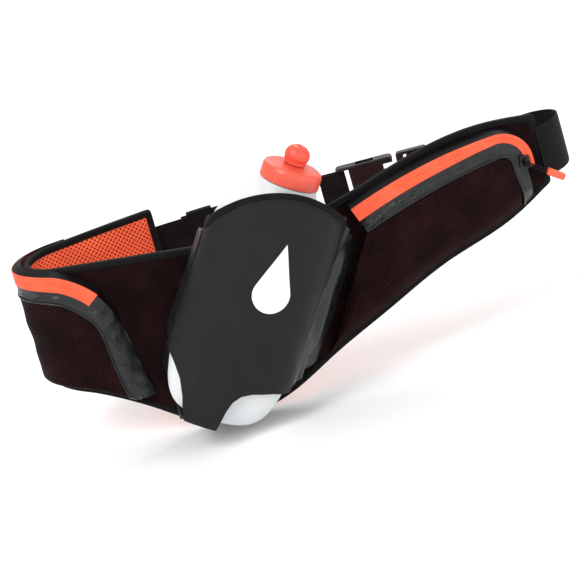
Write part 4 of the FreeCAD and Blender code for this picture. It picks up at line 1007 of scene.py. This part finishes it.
def right_pocket(wardrobe: Wardrobe, belt: Belt) -> ZipPocket:
    """The right pocket: its zip climbs along the belt's top, bends down at the right end and stops there."""
    start, middle, bend = (41.0, 12.0), (94.0, 27.0), (151.0, 34.0)
    centre, _ = circle_of(start, middle, bend)
    tilt = math.atan2(bend[1] - centre[1], bend[0] - centre[0])
    radius, foot = 21.0, 6.0
    pivot = np.array(bend) - radius * np.array([math.cos(tilt), math.sin(tilt)])
    angle = np.linspace(tilt, 0, 60)
    turn = pivot + radius * np.stack([np.cos(angle), np.sin(angle)], 1)
    line = np.concatenate([arc(start, middle, bend, 120), turn[1:], [[turn[-1, 0], foot]]])
    zip_line = even(line, 180)
    tail = np.linspace([turn[-1, 0], foot], [turn[-1, 0] + 1.0, -19.0], 30)[1:]
    half_wide = np.array([5.7, 5.6, 5.5, 5.3, 5.0, 4.2, 3.5, 3.3, 3.3])
    widths = stretched(half_wide, 180)
    longer = np.concatenate([zip_line, tail])
    wide = np.concatenate([widths, np.full(len(tail), widths[-1])])
    reach = np.interp(np.arange(len(longer)), [0, 60, 130, 180, len(longer)], [15.5, 15.5, 14.0, 12.0, 10.0])
    outer, inner = beside(longer, -wide + 0.4), beside(longer, -reach)
    inner[-1, 1] -= 5
    foot_run = inner[180, 0]
    low_x = np.linspace(-3.0, foot_run, 120)
    low_run = PLAN.run_at(low_x)
    low = np.stack([low_run, belt.height_at(low_run, True) + 4.0], 1)
    top = beside(zip_line, -reach[:180])
    for part in (zip_line, outer, inner, top):
        part[:, 0] = PLAN.run_at(part[:, 0])
    border = np.array([[PLAN.run_at(-6.0), -92.0], [PLAN.run_at(41.0), 14.0], [PLAN.run_at(41.0), 60.0]])
    return ZipPocket(wardrobe, side="right", centre=zip_line, strip_outer=outer, strip_inner=inner,
                     cover_top=top, cover_low=low, border=border, belt=belt, half_wide=half_wide)


def left_pocket(wardrobe: Wardrobe, belt: Belt) -> ZipPocket:
    """The left pocket: its zip comes round the fold from behind and drops toward the holster."""
    flat_end = [float(PLAN.run_at(-170.0, behind=True)), 21.0]
    front = arc((-200.0, 21.0), (-179.0, 15.5), (-158.0, -1.0), 80)
    front[:, 0] = PLAN.run_at(front[:, 0])
    zip_line = even(np.concatenate([[flat_end], front]), 140)
    outer = beside(zip_line, np.interp(np.arange(140), [0, 118, 139], [-5.0, -5.0, 4.4]))
    inner = beside(zip_line, -14.5)
    inner = inner[: int(np.argmin(np.abs(inner[:, 0] - PLAN.run_at(-165.0))))]
    knee, foot = [float(PLAN.run_at(-150.5)), -6.0], [float(PLAN.run_at(-133.5)), -84.0]
    knee_in, foot_in = [float(PLAN.run_at(-163.0)), -17.0], [float(PLAN.run_at(-152.0)), -84.0]
    outer_down = smooth_line([outer[-1], knee, [knee[0] + 8, -36.0], foot], 60)
    inner_down = smooth_line([inner[-1], knee_in, [knee_in[0] + 6, -46.0], foot_in], 60)
    strip_outer = np.concatenate([even(outer, 110), outer_down[1:]])
    strip_inner = np.concatenate([even(inner, 110), inner_down[1:]])
    low_run = np.linspace(flat_end[0], foot_in[0], 120)
    low = np.stack([low_run, belt.height_at(low_run, True) + 4.0], 1)
    top = strip_inner[:130].copy()
    border = np.array([foot, [knee[0] + 6, -36.0], [knee[0] + 5, 5.0], [knee[0] + 5, 40.0]])
    border[0, 0] += 2
    return ZipPocket(wardrobe, side="left", centre=zip_line, strip_outer=strip_outer, strip_inner=strip_inner,
                     cover_top=top, cover_low=low, border=border, belt=belt, full=13.5, climb=5.0,
                     half_wide=np.array([5.2, 5.4, 5.6, 5.6]), seed=23)


@dataclass
class Holster(SubAssembly):
    """The leaning cup that holds the bottle, on its foam cushion, with side walls back to the belt."""

    foot: Triple = (-98.5, -82.1, -98.2)
    lean: float = 32.7
    half_wide: float = 46.0
    half_deep: float = 30.0
    gap: float = 0.6
    thick: float = 2.5
    cushion_front: float = -51.5
    top_points: tuple[Point, Point, Point] = ((-50.1, 137.0), (8.0, 185.5), (50.1, 169.0))
    low_points: tuple[Point, ...] = (
        (-60, 52), (-50, 43.5), (-43, 36), (-36, 27), (-30.5, 15), (-27.6, 5), (-26.6, -2.6), (-25.8, -3),
        (0.2, -3), (1.0, -2.6), (1.6, 5), (3, 14), (5.5, 22), (10.5, 28), (18, 31.4), (34, 34), (60, 34))

    def at(self, across: Array, up: Array, depth: Array) -> Array:
        """Place of a point in the bottle's leaning frame: the foot plus each length along its axis."""
        turn = math.radians(self.lean)
        across, up, depth = np.broadcast_arrays(across, up, depth)
        x = self.foot[0] + across * math.cos(turn) + up * math.sin(turn)
        z = self.foot[2] - across * math.sin(turn) + up * math.cos(turn)
        return np.stack([x, self.foot[1] + depth, z], -1)

    def cup(self, angle: Array, up: Array, grow: Union[float, Array]) -> Array:
        """A place on the cup: half an ellipse round the bottle, drawn in below the foot's shoulder."""
        tuck = 1 - 0.1 * np.clip((12 - np.asarray(up, float)) / 15, 0, 1) ** 2
        return self.at((self.half_wide + grow) * np.sin(angle) * tuck, up,
                       -(self.half_deep + grow) * np.cos(angle) * tuck)

    def top_at(self, across: Array, drop: float = 0.0) -> Array:
        """Height of the cup's top edge: the upper side of a circle through three points."""
        centre, radius = circle_of(*self.top_points)
        return centre[1] + np.sqrt(np.maximum(radius**2 - (across - centre[0]) ** 2, 0)) - drop

    def low_at(self, across: Array) -> Array:
        """Height of the cup's lower edge, with a window on each side of the tongue, by interpolation."""
        line = np.array(self.low_points)
        return np.interp(across, line[:, 0], line[:, 1])

    def make_front(self) -> None:
        """The cup's front: a curved panel, softly pressed in along its middle and round the bottle's foot."""
        angle = np.linspace(-1.62, 1.62, 260)
        across = (self.half_wide + self.gap + self.thick) * np.sin(angle)
        low, top = self.low_at(across), self.top_at(across, 1.0)
        up = low[:, None] + (top - low)[:, None] * np.linspace(0, 1, 90)[None, :]
        turn = np.broadcast_to(angle[:, None], up.shape)
        share = np.linspace(0, 1, 90)[None, :]
        edge = np.clip(share * (1 - share) * 9, 0, 1)
        soft = folds(across[:, None] + up * 0.15, up * 0.45, 60, 31) * 0.55
        soft = soft + 0.25 * folds(across[:, None] * 0.4, up, 30, 32)
        grow = self.gap + self.thick + soft * edge * 0.8 - 0.35
        outer, inner = self.cup(turn, up, grow), self.cup(turn, up, self.gap - 0.25 + 0 * up)
        uv = stacked(lengths(outer[:, 40])[:, None], up)
        front = shell_piece("holster_front_panel", outer, inner, uv)
        self.fit(front, Slot.SHELL, "holster_front")
        self.panel(front, outer, "stretched", "bottle_body")

    def make_rim(self) -> None:
        """The binding on the top edge: a rounded band astride the cup's wall, square to the edge."""
        angle = np.linspace(-1.6, 1.6, 160)
        across = (self.half_wide + self.gap + self.thick) * np.sin(angle)
        centre, radius = circle_of(*self.top_points)
        steep = radius / np.maximum(self.top_at(across) - centre[1], 0.4 * radius)
        form = rounded_profile(2.3, 1.75, 3, 20)
        up = self.top_at(across, 1.9)[:, None] + form[None, :, 0] * steep[:, None]
        grow = np.broadcast_to(self.gap + self.thick / 2 + form[None, :, 1], up.shape)
        rings = self.cup(np.broadcast_to(angle[:, None], up.shape), up, grow)
        rim = tube_piece("holster_rim_binding", rings, lengths(rings[:, 0]))
        self.fit(rim, Slot.BINDING, "holster_rim")
        line = self.cup(angle, self.top_at(across, 6.2), self.gap + self.thick - 0.1)
        outward = self.at(np.sin(angle), 0, -np.cos(angle)) - self.at(0, 0, 0)
        self.sew("holster_stitching", [(line, outward)])

    def make_side(self, side: int) -> None:
        """A side wall: cloth from the cup's seam back to the belt's face, flared and full of long folds.

        A point goes a share of the way from the seam to the belt's face behind it, and folds push it out.
        """
        name, flare, full = ("right", 18.0, 1.5) if side > 0 else ("left", -1.5, 0.5)
        wall = self.half_wide + self.gap
        share = np.linspace(0, 1, 60)[:, None]
        reach = wall + 1.2 + flare * share
        if side > 0:
            low, top = 35 + 17 * share, 167 - 21 * share
        else:
            low, top = 46 + 2 * share, 134 - 9 * share
        up = low + (top - low) * np.linspace(0, 1, 120)[None, :]
        reach = np.broadcast_to(reach, up.shape)
        place = self.at(side * reach, up, 0 * up)
        belt = PLAN.middle - np.sqrt((PLAN.long_radius + 6.0) ** 2 - place[..., 0] ** 2)
        start = self.foot[1] + 1.5
        depth = 1.5 + (belt - start) * share
        bulge = folds(up * 0.2, share * 36, 13, 41 + side) * 1.7
        bulge = bulge + folds(up * 0.5 + share * 20, share * 9, 26, 45) * 0.7
        bulge = full * bulge * np.sin(share * math.pi) ** 0.7
        outer = self.at(side * (reach + bulge + 1.0), up, depth)
        inner = self.at(side * (reach + bulge), up, depth)
        uv = stacked(share * 34, up)
        gusset = shell_piece(f"holster_{name}_side", outer, inner, uv)
        self.fit(gusset, Slot.SIDE, f"holster_gusset_{name}")
        self.panel(gusset, outer, "gathered", "lumbar_face")
        turn = np.linspace(0, 2 * math.pi, 10, endpoint=False)[None, :]
        height = np.linspace(float(low[0, 0]) + 1, float(top[0, 0]) - 1, 100)[:, None]
        seam = self.at(side * (wall + 1.9 + 1.1 * np.cos(turn)), height, 1.6 + 1.1 * np.sin(turn))
        self.fit(tube_piece(f"holster_{name}_piping", seam, lengths(seam[:, 0])), Slot.BINDING)
        if side < 0:
            return
        foot = place[-1]
        form = rounded_profile(2.4, 0.9, 4, 16)
        left = left_of(foot[:, [0, 2]])
        beside_x = foot[:, None, 0] + left[:, None, 0] * form[None, :, 0] - side
        beside_z = foot[:, None, 2] + left[:, None, 1] * form[None, :, 0]
        rings = PLAN.wrap(PLAN.run_at(beside_x), beside_z, 6.9 + form[None, :, 1])
        self.fit(tube_piece(f"holster_{name}_seam_tape", rings, lengths(foot)), Slot.BINDING)

    def make_tongue(self) -> None:
        """The tongue under the bottle's foot: a strip that sags a little and turns up at one end."""
        across = np.linspace(-26.5, 0.5, 30)[:, None]
        share = np.linspace(0, 1, 50)[None, :]
        depth = -26.8 + 57.0 * share + 0 * across
        lip = (np.clip(0.08 - share, 0, 1) / 0.08) ** 2
        up = -2.6 - 0.5 * np.sin(share * math.pi) + 2.2 * lip + 0 * across
        outer, inner = self.at(across, up, depth), self.at(across, up + 1.9, depth)
        uv = stacked(across, depth)
        self.fit(shell_piece("holster_tongue_strip", outer, inner, uv), Slot.SHELL, "holster_tongue")

    def make_cushion(self) -> None:
        """The foam cushion: a crowned block from the belt's face to the bottle's back."""
        line = np.array([(-44.6, 22), (-37.6, 10), (-26, -2), (2, -2), (29.6, 6), (39.6, 24), (44.6, 52)])
        across = np.linspace(-43.6, 43.6, 90)[:, None]
        low = np.interp(across, line[:, 0], line[:, 1])
        centre, radius = circle_of((-44.6, 119.0), (2.0, 158.5), (44.6, 146.0))
        top = centre[1] + np.sqrt(radius**2 - (across - centre[0]) ** 2)
        up = low + (top - low) * np.linspace(0, 1, 110)[None, :]
        near = np.minimum(np.minimum(up - low, top - up), 43.6 - np.abs(across))
        crown = rise(near / 9, 2.4)
        place = self.at(across, up, 0 * up)
        belt = PLAN.middle - np.sqrt((PLAN.long_radius + 6.1) ** 2 - place[..., 0] ** 2) - self.foot[1]
        front = self.cushion_front - self.foot[1] + 0.3
        depth = belt - 0.8 - (belt - 0.8 - front) * crown
        outer, inner = self.at(across, up, depth), self.at(across, up, belt)
        uv = stacked(across, up)
        cushion = shell_piece("holster_cushion", outer, inner, uv)
        self.fit(cushion, Slot.PAD, "holster_pad")

    def make_drop(self) -> None:
        """The reflective water drop: its half width is a circle's, and then narrows straight to a tip."""
        radius, length, across, middle = 14.0, 54.0, 8.0, 108.0
        tip = length - radius
        reach = math.acos(radius / tip)
        bend = radius * math.cos(reach)
        lower = -radius * np.cos(np.linspace(0.03, math.pi / 2, 40))
        up = np.concatenate([lower, np.linspace(0.3, tip - 0.3, 50)])
        half = np.where(up < bend, np.sqrt(np.maximum(radius**2 - up**2, 0)),
                        radius * math.sin(reach) * (tip - up) / (tip - bend))
        place = across + half[:, None] * np.linspace(-1, 1, 30)[None, :]
        height = np.broadcast_to((middle + up)[:, None], place.shape)
        skin = self.half_wide + self.gap + self.thick
        angle = np.arcsin(place / skin)
        soft = folds(place + height * 0.15, height * 0.45, 60, 31) * 0.44
        soft = soft + 0.2 * folds(place * 0.4, height, 30, 32)
        grow = self.gap + self.thick - 0.35 + soft
        outer, inner = self.cup(angle, height, grow + 0.4), self.cup(angle, height, grow - 0.3)
        drop = shell_piece("reflective_drop_film", outer, inner, np.stack([place, height], -1))
        self.fit(drop, Slot.FILM, "reflective_drop")

    def make(self) -> None:
        """Build the holster's pieces."""
        self.make_front()
        self.make_rim()
        self.make_side(-1)
        self.make_side(1)
        self.make_tongue()
        self.make_cushion()
        self.make_drop()


@dataclass
class WaistStrap(SubAssembly):
    """The elastic webbing with its folds, keeper and stitching, and the buckle and adjuster on it."""

    width: float = 38.0
    thick: float = 1.8
    height: float = -5.0
    right_height: float = 9.5
    buckle_x: float = 63.0
    buckle_out: float = 8.3
    keeper_x: float = -68.0
    near_out: float = 6.8
    far_out: float = 11.0
    thread_out: float = 7.75

    def webbing(self, name: str, run: Array, middle: Array, out: Array) -> bpy.types.Object:
        """A length of webbing, flat with rounded edges, from its runs, middle heights and distances out."""
        form = rounded_profile(self.width / 2, self.thick / 2, 7, 44)
        rings = PLAN.wrap(run[:, None], middle[:, None] + form[None, :, 0], out[:, None] + form[None, :, 1])
        return tube_piece(name, rings, run)

    def tape(self, name: str, start: float, end: float, heights: Point, out: float,
             waviness: float) -> bpy.types.Object:
        """Webbing on the belt's back, from a first height to a last; its distance out waves softly."""
        run = np.linspace(start, end, 200)
        middle = np.linspace(*heights, 200)
        wave = waviness * np.sin(np.linspace(0, math.pi * 3, 200)) * np.sin(np.linspace(0, math.pi, 200))
        return self.webbing(name, run, middle, out + wave)

    def local(self, x: Array, y: Array, z: Array) -> Array:
        """Place of a point in the buckle's own frame: along the strap, out of it and up."""
        middle = PLAN.wrap(PLAN.run_at(self.buckle_x, behind=True), self.height, self.buckle_out)
        turn = math.asin(self.buckle_x / (PLAN.long_radius + self.buckle_out))
        along = np.array([math.cos(turn), -math.sin(turn), 0])
        out = np.array([math.sin(turn), math.cos(turn), 0])
        x, y, z = np.broadcast_arrays(x, y, z)
        return middle + x[..., None] * along + y[..., None] * out + z[..., None] * np.array([0, 0, 1.0])

    def fold(self, name: str, bar: float, end: float) -> bpy.types.Object:
        """Webbing round a bar of the buckle: two straight legs joined by half a circle."""
        radius = 2.1
        side = 1.0 if end > bar else -1.0
        turn = np.linspace(math.pi / 2, 3 * math.pi / 2, 24)
        bend = np.stack([bar + side * radius * np.cos(turn), radius * np.sin(turn)], 1)
        path = even(np.concatenate([[[end, radius]], bend, [[end, -radius]]]), 90)
        form = rounded_profile(self.width / 2 - 0.3, self.thick / 2 - 0.05, 7, 36)
        place = path[:, None, :] + left_of(path)[:, None, :] * form[None, :, 1, None]
        rings = self.local(place[..., 0], place[..., 1], np.broadcast_to(form[None, :, 0], place.shape[:2]))
        return tube_piece(name, rings, lengths(path))

    def make_keeper(self) -> None:
        """The elastic keeper: a band round both layers, its path a rounded oblong across the strap."""
        start = float(PLAN.run_at(self.keeper_x, behind=True))
        oblong = rounded_profile(self.width / 2 + 1.7, 4.2, 6, 96)
        form = rounded_profile(9.6, 0.75, 6, 24)
        place = oblong[:, None, :] - left_of(oblong, loop=True)[:, None, :] * form[None, :, 1, None]
        run = np.broadcast_to(start + form[None, :, 0], place.shape[:2])
        rings = PLAN.wrap(run, self.height + place[..., 0], 8.9 + place[..., 1])
        piece = tube_piece("strap_keeper_band", rings, np.arange(float(len(oblong))), loop=True)
        self.fit(piece, Slot.ELASTIC, "strap_keeper", body="keeper")

    @staticmethod
    def back_run(x: float) -> float:
        """Run of a place on the back, counted on from the left side round the middle."""
        if x > 0:
            return float(PLAN.run_at(x)) - PLAN.front_run - PLAN.back_run
        return float(PLAN.run_at(x, behind=True))

    def make(self) -> None:
        """Build the webbing and its fittings."""
        left_end, buckle_end = self.back_run(-122.0), self.back_run(23.5)
        level = (self.height, self.height)
        main = self.tape("strap_left_webbing", left_end, buckle_end, level, self.near_out, 0.5)
        self.fit(main, Slot.WEBBING, "strap_left", body="")
        start = Vector(PLAN.wrap(left_end - 14, self.height, self.near_out) * MM)
        end = Vector(PLAN.wrap(self.back_run(21.0), self.height, self.near_out) * MM)
        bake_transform(main)
        tail = self.tape("strap_tail_webbing", self.back_run(-82.0), buckle_end, level, self.far_out, 0.35)
        self.fit(tail, Slot.WEBBING, "strap_tail", body="buckle_front")
        fold = self.fold("strap_left_fold", -21.9, -39.4)
        self.fit(fold, Slot.WEBBING, "strap_loop_left", body="buckle_front")
        self.fit(self.fold("strap_right_fold", 31.9, 49.4), Slot.WEBBING, "strap_loop_right")
        front = float(PLAN.run_at(184.0))
        corner = float(PLAN.run_at(200.0))
        behind = float(PLAN.run_at(113.2, behind=True))
        run = np.linspace(front, behind, 260)
        middle = np.interp(run, [corner, behind], [self.right_height, self.height])
        ripple = 0.4 * np.sin(np.linspace(0, 9, 260)) * np.sin(np.linspace(0, math.pi, 260))
        main = self.webbing("strap_right_webbing", run, middle, self.near_out + ripple)
        self.fit(main, Slot.WEBBING, "strap_right")
        end = float(PLAN.run_at(152.0, behind=True))
        heights = (1.5, self.height)
        back = self.tape("strap_right_return_webbing", end, behind, heights, self.far_out, 0.2)
        self.fit(back, Slot.WEBBING, "strap_right_return")
        self.make_keeper()
        self.make_stitches(left_end)

    def make_stitches(self, left_end: float) -> None:
        """Box stitches where the left strap is sewn to the belt, and a bar tack at the right strap's root."""
        near, far, low, top = left_end + 3, left_end + 16, -21.0, 11.0
        corners = [(near, low), (far, low), (far, top), (near, top), (near, low), (far, top)]
        root = float(PLAN.run_at(189.0))
        rows = [(PLAN.wrap(line[:, 0], line[:, 1], self.thread_out), PLAN.normal(line[:, 0]))
                for line in (even(np.array(corners), 200), np.linspace([root, -7.0], [root, 26.0], 60))]
        self.sew("strap_stitching", rows, 2.4, 0.85, 0.28, Slot.WEBBING)


@dataclass
class ZipPull(SubAssembly):
    """A zip's pull: a doubled cord from the slider's eye into a moulded grip."""

    side: str = "right"

    def make(self) -> None:
        """The cord: two strands side by side that meet in half a circle through the slider's eye."""
        cord_low, cord_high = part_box(f"zip_{self.side}_cord")
        grip_low, grip_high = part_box(f"zip_{self.side}_grip")
        cord, grip = np.array(cord_low + cord_high) / 2 / MM, np.array(grip_low + grip_high) / 2 / MM
        way = grip - cord
        way /= np.linalg.norm(way)
        out = PLAN.normal(PLAN.run_at(cord[0], behind=bool(cord[1] > 0)))
        across = np.cross(way, out)
        turn = np.linspace(math.pi / 2, 3 * math.pi / 2, 20)
        near = np.stack([0.95 * np.cos(turn) - 7.6, 0.95 * np.sin(turn)], 1)
        path = even(np.concatenate([[[9.0, 0.95]], near, [[9.0, -0.95]]]), 110)
        centre = cord + path[:, :1] * way + path[:, 1:] * across
        along = np.gradient(centre, axis=0)
        along /= np.linalg.norm(along, axis=1)[:, None]
        left = np.cross(along, out)
        round_it = np.linspace(0, 2 * math.pi, 12, endpoint=False)[None, :, None]
        rings = centre[:, None, :] + 0.62 * (left[:, None, :] * np.cos(round_it) + out * np.sin(round_it))
        piece = tube_piece(f"{self.side}_pull_cord", rings, lengths(centre))
        self.fit(piece, Slot.CORD, f"zip_{self.side}_cord")


KEPT_NODES = {
    Slot.BOTTLE: ("bottle_body",),
    Slot.CAP: ("bottle_cap",),
    Slot.NOZZLE: ("bottle_nozzle",),
    Slot.GASKET: ("cap_gasket",),
    Slot.BUCKLE: ("buckle_female", "buckle_male", "release_arm_upper", "release_arm_lower", "strap_glide"),
    Slot.METAL: ("zip_right_slider", "zip_left_slider"),
    Slot.GRIP: ("zip_right_grip", "zip_left_grip"),
}


# ---------------------------------------------------------------- studio


@dataclass(frozen=True)
class Studio:
    """Pale floor that curves up all round, soft lights, and a camera far off with a long lens."""

    elevation: float = 18.0
    roll: float = 16.0
    distance: float = 4.0
    view_width: float = 0.4274
    target: Triple = (-0.0191, -0.050, -0.0325)
    floor_height: float = -0.1199
    floor_reach: float = 7.0
    floor_bend: float = 2.5
    wall_height: float = 5.5
    film_width: float = 36.0
    sky: float = 0.75

    def camera(self) -> None:
        """A camera whose right and up directions are the level ones turned by the roll."""
        lens = bpy.data.cameras.new("camera")
        lens.sensor_width = self.film_width
        lens.lens = self.film_width * self.distance / self.view_width
        lens.clip_end = 60.0
        body = bpy.data.objects.new("camera", lens)
        bpy.context.scene.collection.objects.link(body)
        lift, roll = math.radians(self.elevation), math.radians(self.roll)
        level, raised = Vector((1, 0, 0)), Vector((0, math.sin(lift), math.cos(lift)))
        ahead = Vector((0, math.cos(lift), -math.sin(lift)))
        right = level * math.cos(roll) - raised * math.sin(roll)
        up = level * math.sin(roll) + raised * math.cos(roll)
        turn = Matrix((right, up, -ahead)).transposed()
        place = Vector(self.target) - ahead * self.distance
        body.matrix_world = Matrix.Translation(place) @ turn.to_4x4()
        bpy.context.scene.camera = body

    def floor(self) -> None:
        """A wide dish: flat at first, then a quarter circle up to a wall. Its lengths are in metres."""
        bend = np.linspace(0, math.pi / 2, 24)
        flat = np.linspace(0.001, self.floor_reach, 12)
        curve = self.floor_reach + self.floor_bend * np.sin(bend[1:])
        radius = np.concatenate([flat, curve, [self.floor_reach + self.floor_bend]])[:, None]
        climb = self.floor_bend * (1 - np.cos(bend[1:]))
        height = np.concatenate([np.zeros(12), climb, [self.wall_height]])[:, None] + self.floor_height
        turn = np.linspace(0, 2 * math.pi, 72, endpoint=False)
        points = stacked(radius * np.cos(turn), radius * np.sin(turn), height) / MM
        uv = np.zeros((points.shape[0], points.shape[1] + 1, 2))
        dish = grid_piece("studio_floor", points, uv, ring=True)
        paint = Moulded(tint(252, 252, 252), 0.85, 4.0, 0.0, worn=0.0)
        dish.data.materials.append(paint.make("studio_floor"))

    def lamp(self, name: str, place: Triple, size: float, power: float) -> None:
        """A square soft light that looks at the pack."""
        light = bpy.data.lights.new(name, "AREA")
        light.size, light.energy = size, power
        body = bpy.data.objects.new(name, light)
        bpy.context.scene.collection.objects.link(body)
        turn = (Vector(self.target) - Vector(place)).to_track_quat("-Z", "Y")
        body.matrix_world = Matrix.Translation(Vector(place)) @ turn.to_matrix().to_4x4()

    def make(self) -> None:
        """Set the camera, floor, lights and surrounding light."""
        self.camera()
        self.floor()
        self.lamp("key_light", (-1.6, -2.2, 2.6), 1.4, 74)
        self.lamp("fill_light", (2.4, -1.8, 1.2), 1.8, 26)
        self.lamp("back_light", (0.8, 2.6, 2.2), 1.6, 38)
        world = bpy.data.worlds.new("studio")
        world.use_nodes = True
        background = world.node_tree.nodes["Background"]
        background.inputs["Color"].default_value = (1, 1, 1, 1)
        background.inputs["Strength"].default_value = self.sky
        bpy.context.scene.world = world
        bpy.context.scene.view_settings.view_transform = "Standard"


def main() -> None:
    """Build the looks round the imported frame, in order."""
    logging.basicConfig(level=logging.INFO, format="%(name)s %(message)s")
    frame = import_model()
    Studio().make()
    wardrobe = Wardrobe()
    belt = Belt(wardrobe)
    belt.make()
    right_pocket(wardrobe, belt).make()
    left_pocket(wardrobe, belt).make()
    Holster(wardrobe).make()
    WaistStrap(wardrobe).make()
    ZipPull(wardrobe, "pull_right", "right").make()
    ZipPull(wardrobe, "pull_left", "left").make()
    dresser = SubAssembly(wardrobe)
    for slot, names in KEPT_NODES.items():
        for name in names:
            dresser.dress(frame["nodes"][name], slot)
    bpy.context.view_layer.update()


if __name__ == "__main__":
    main()
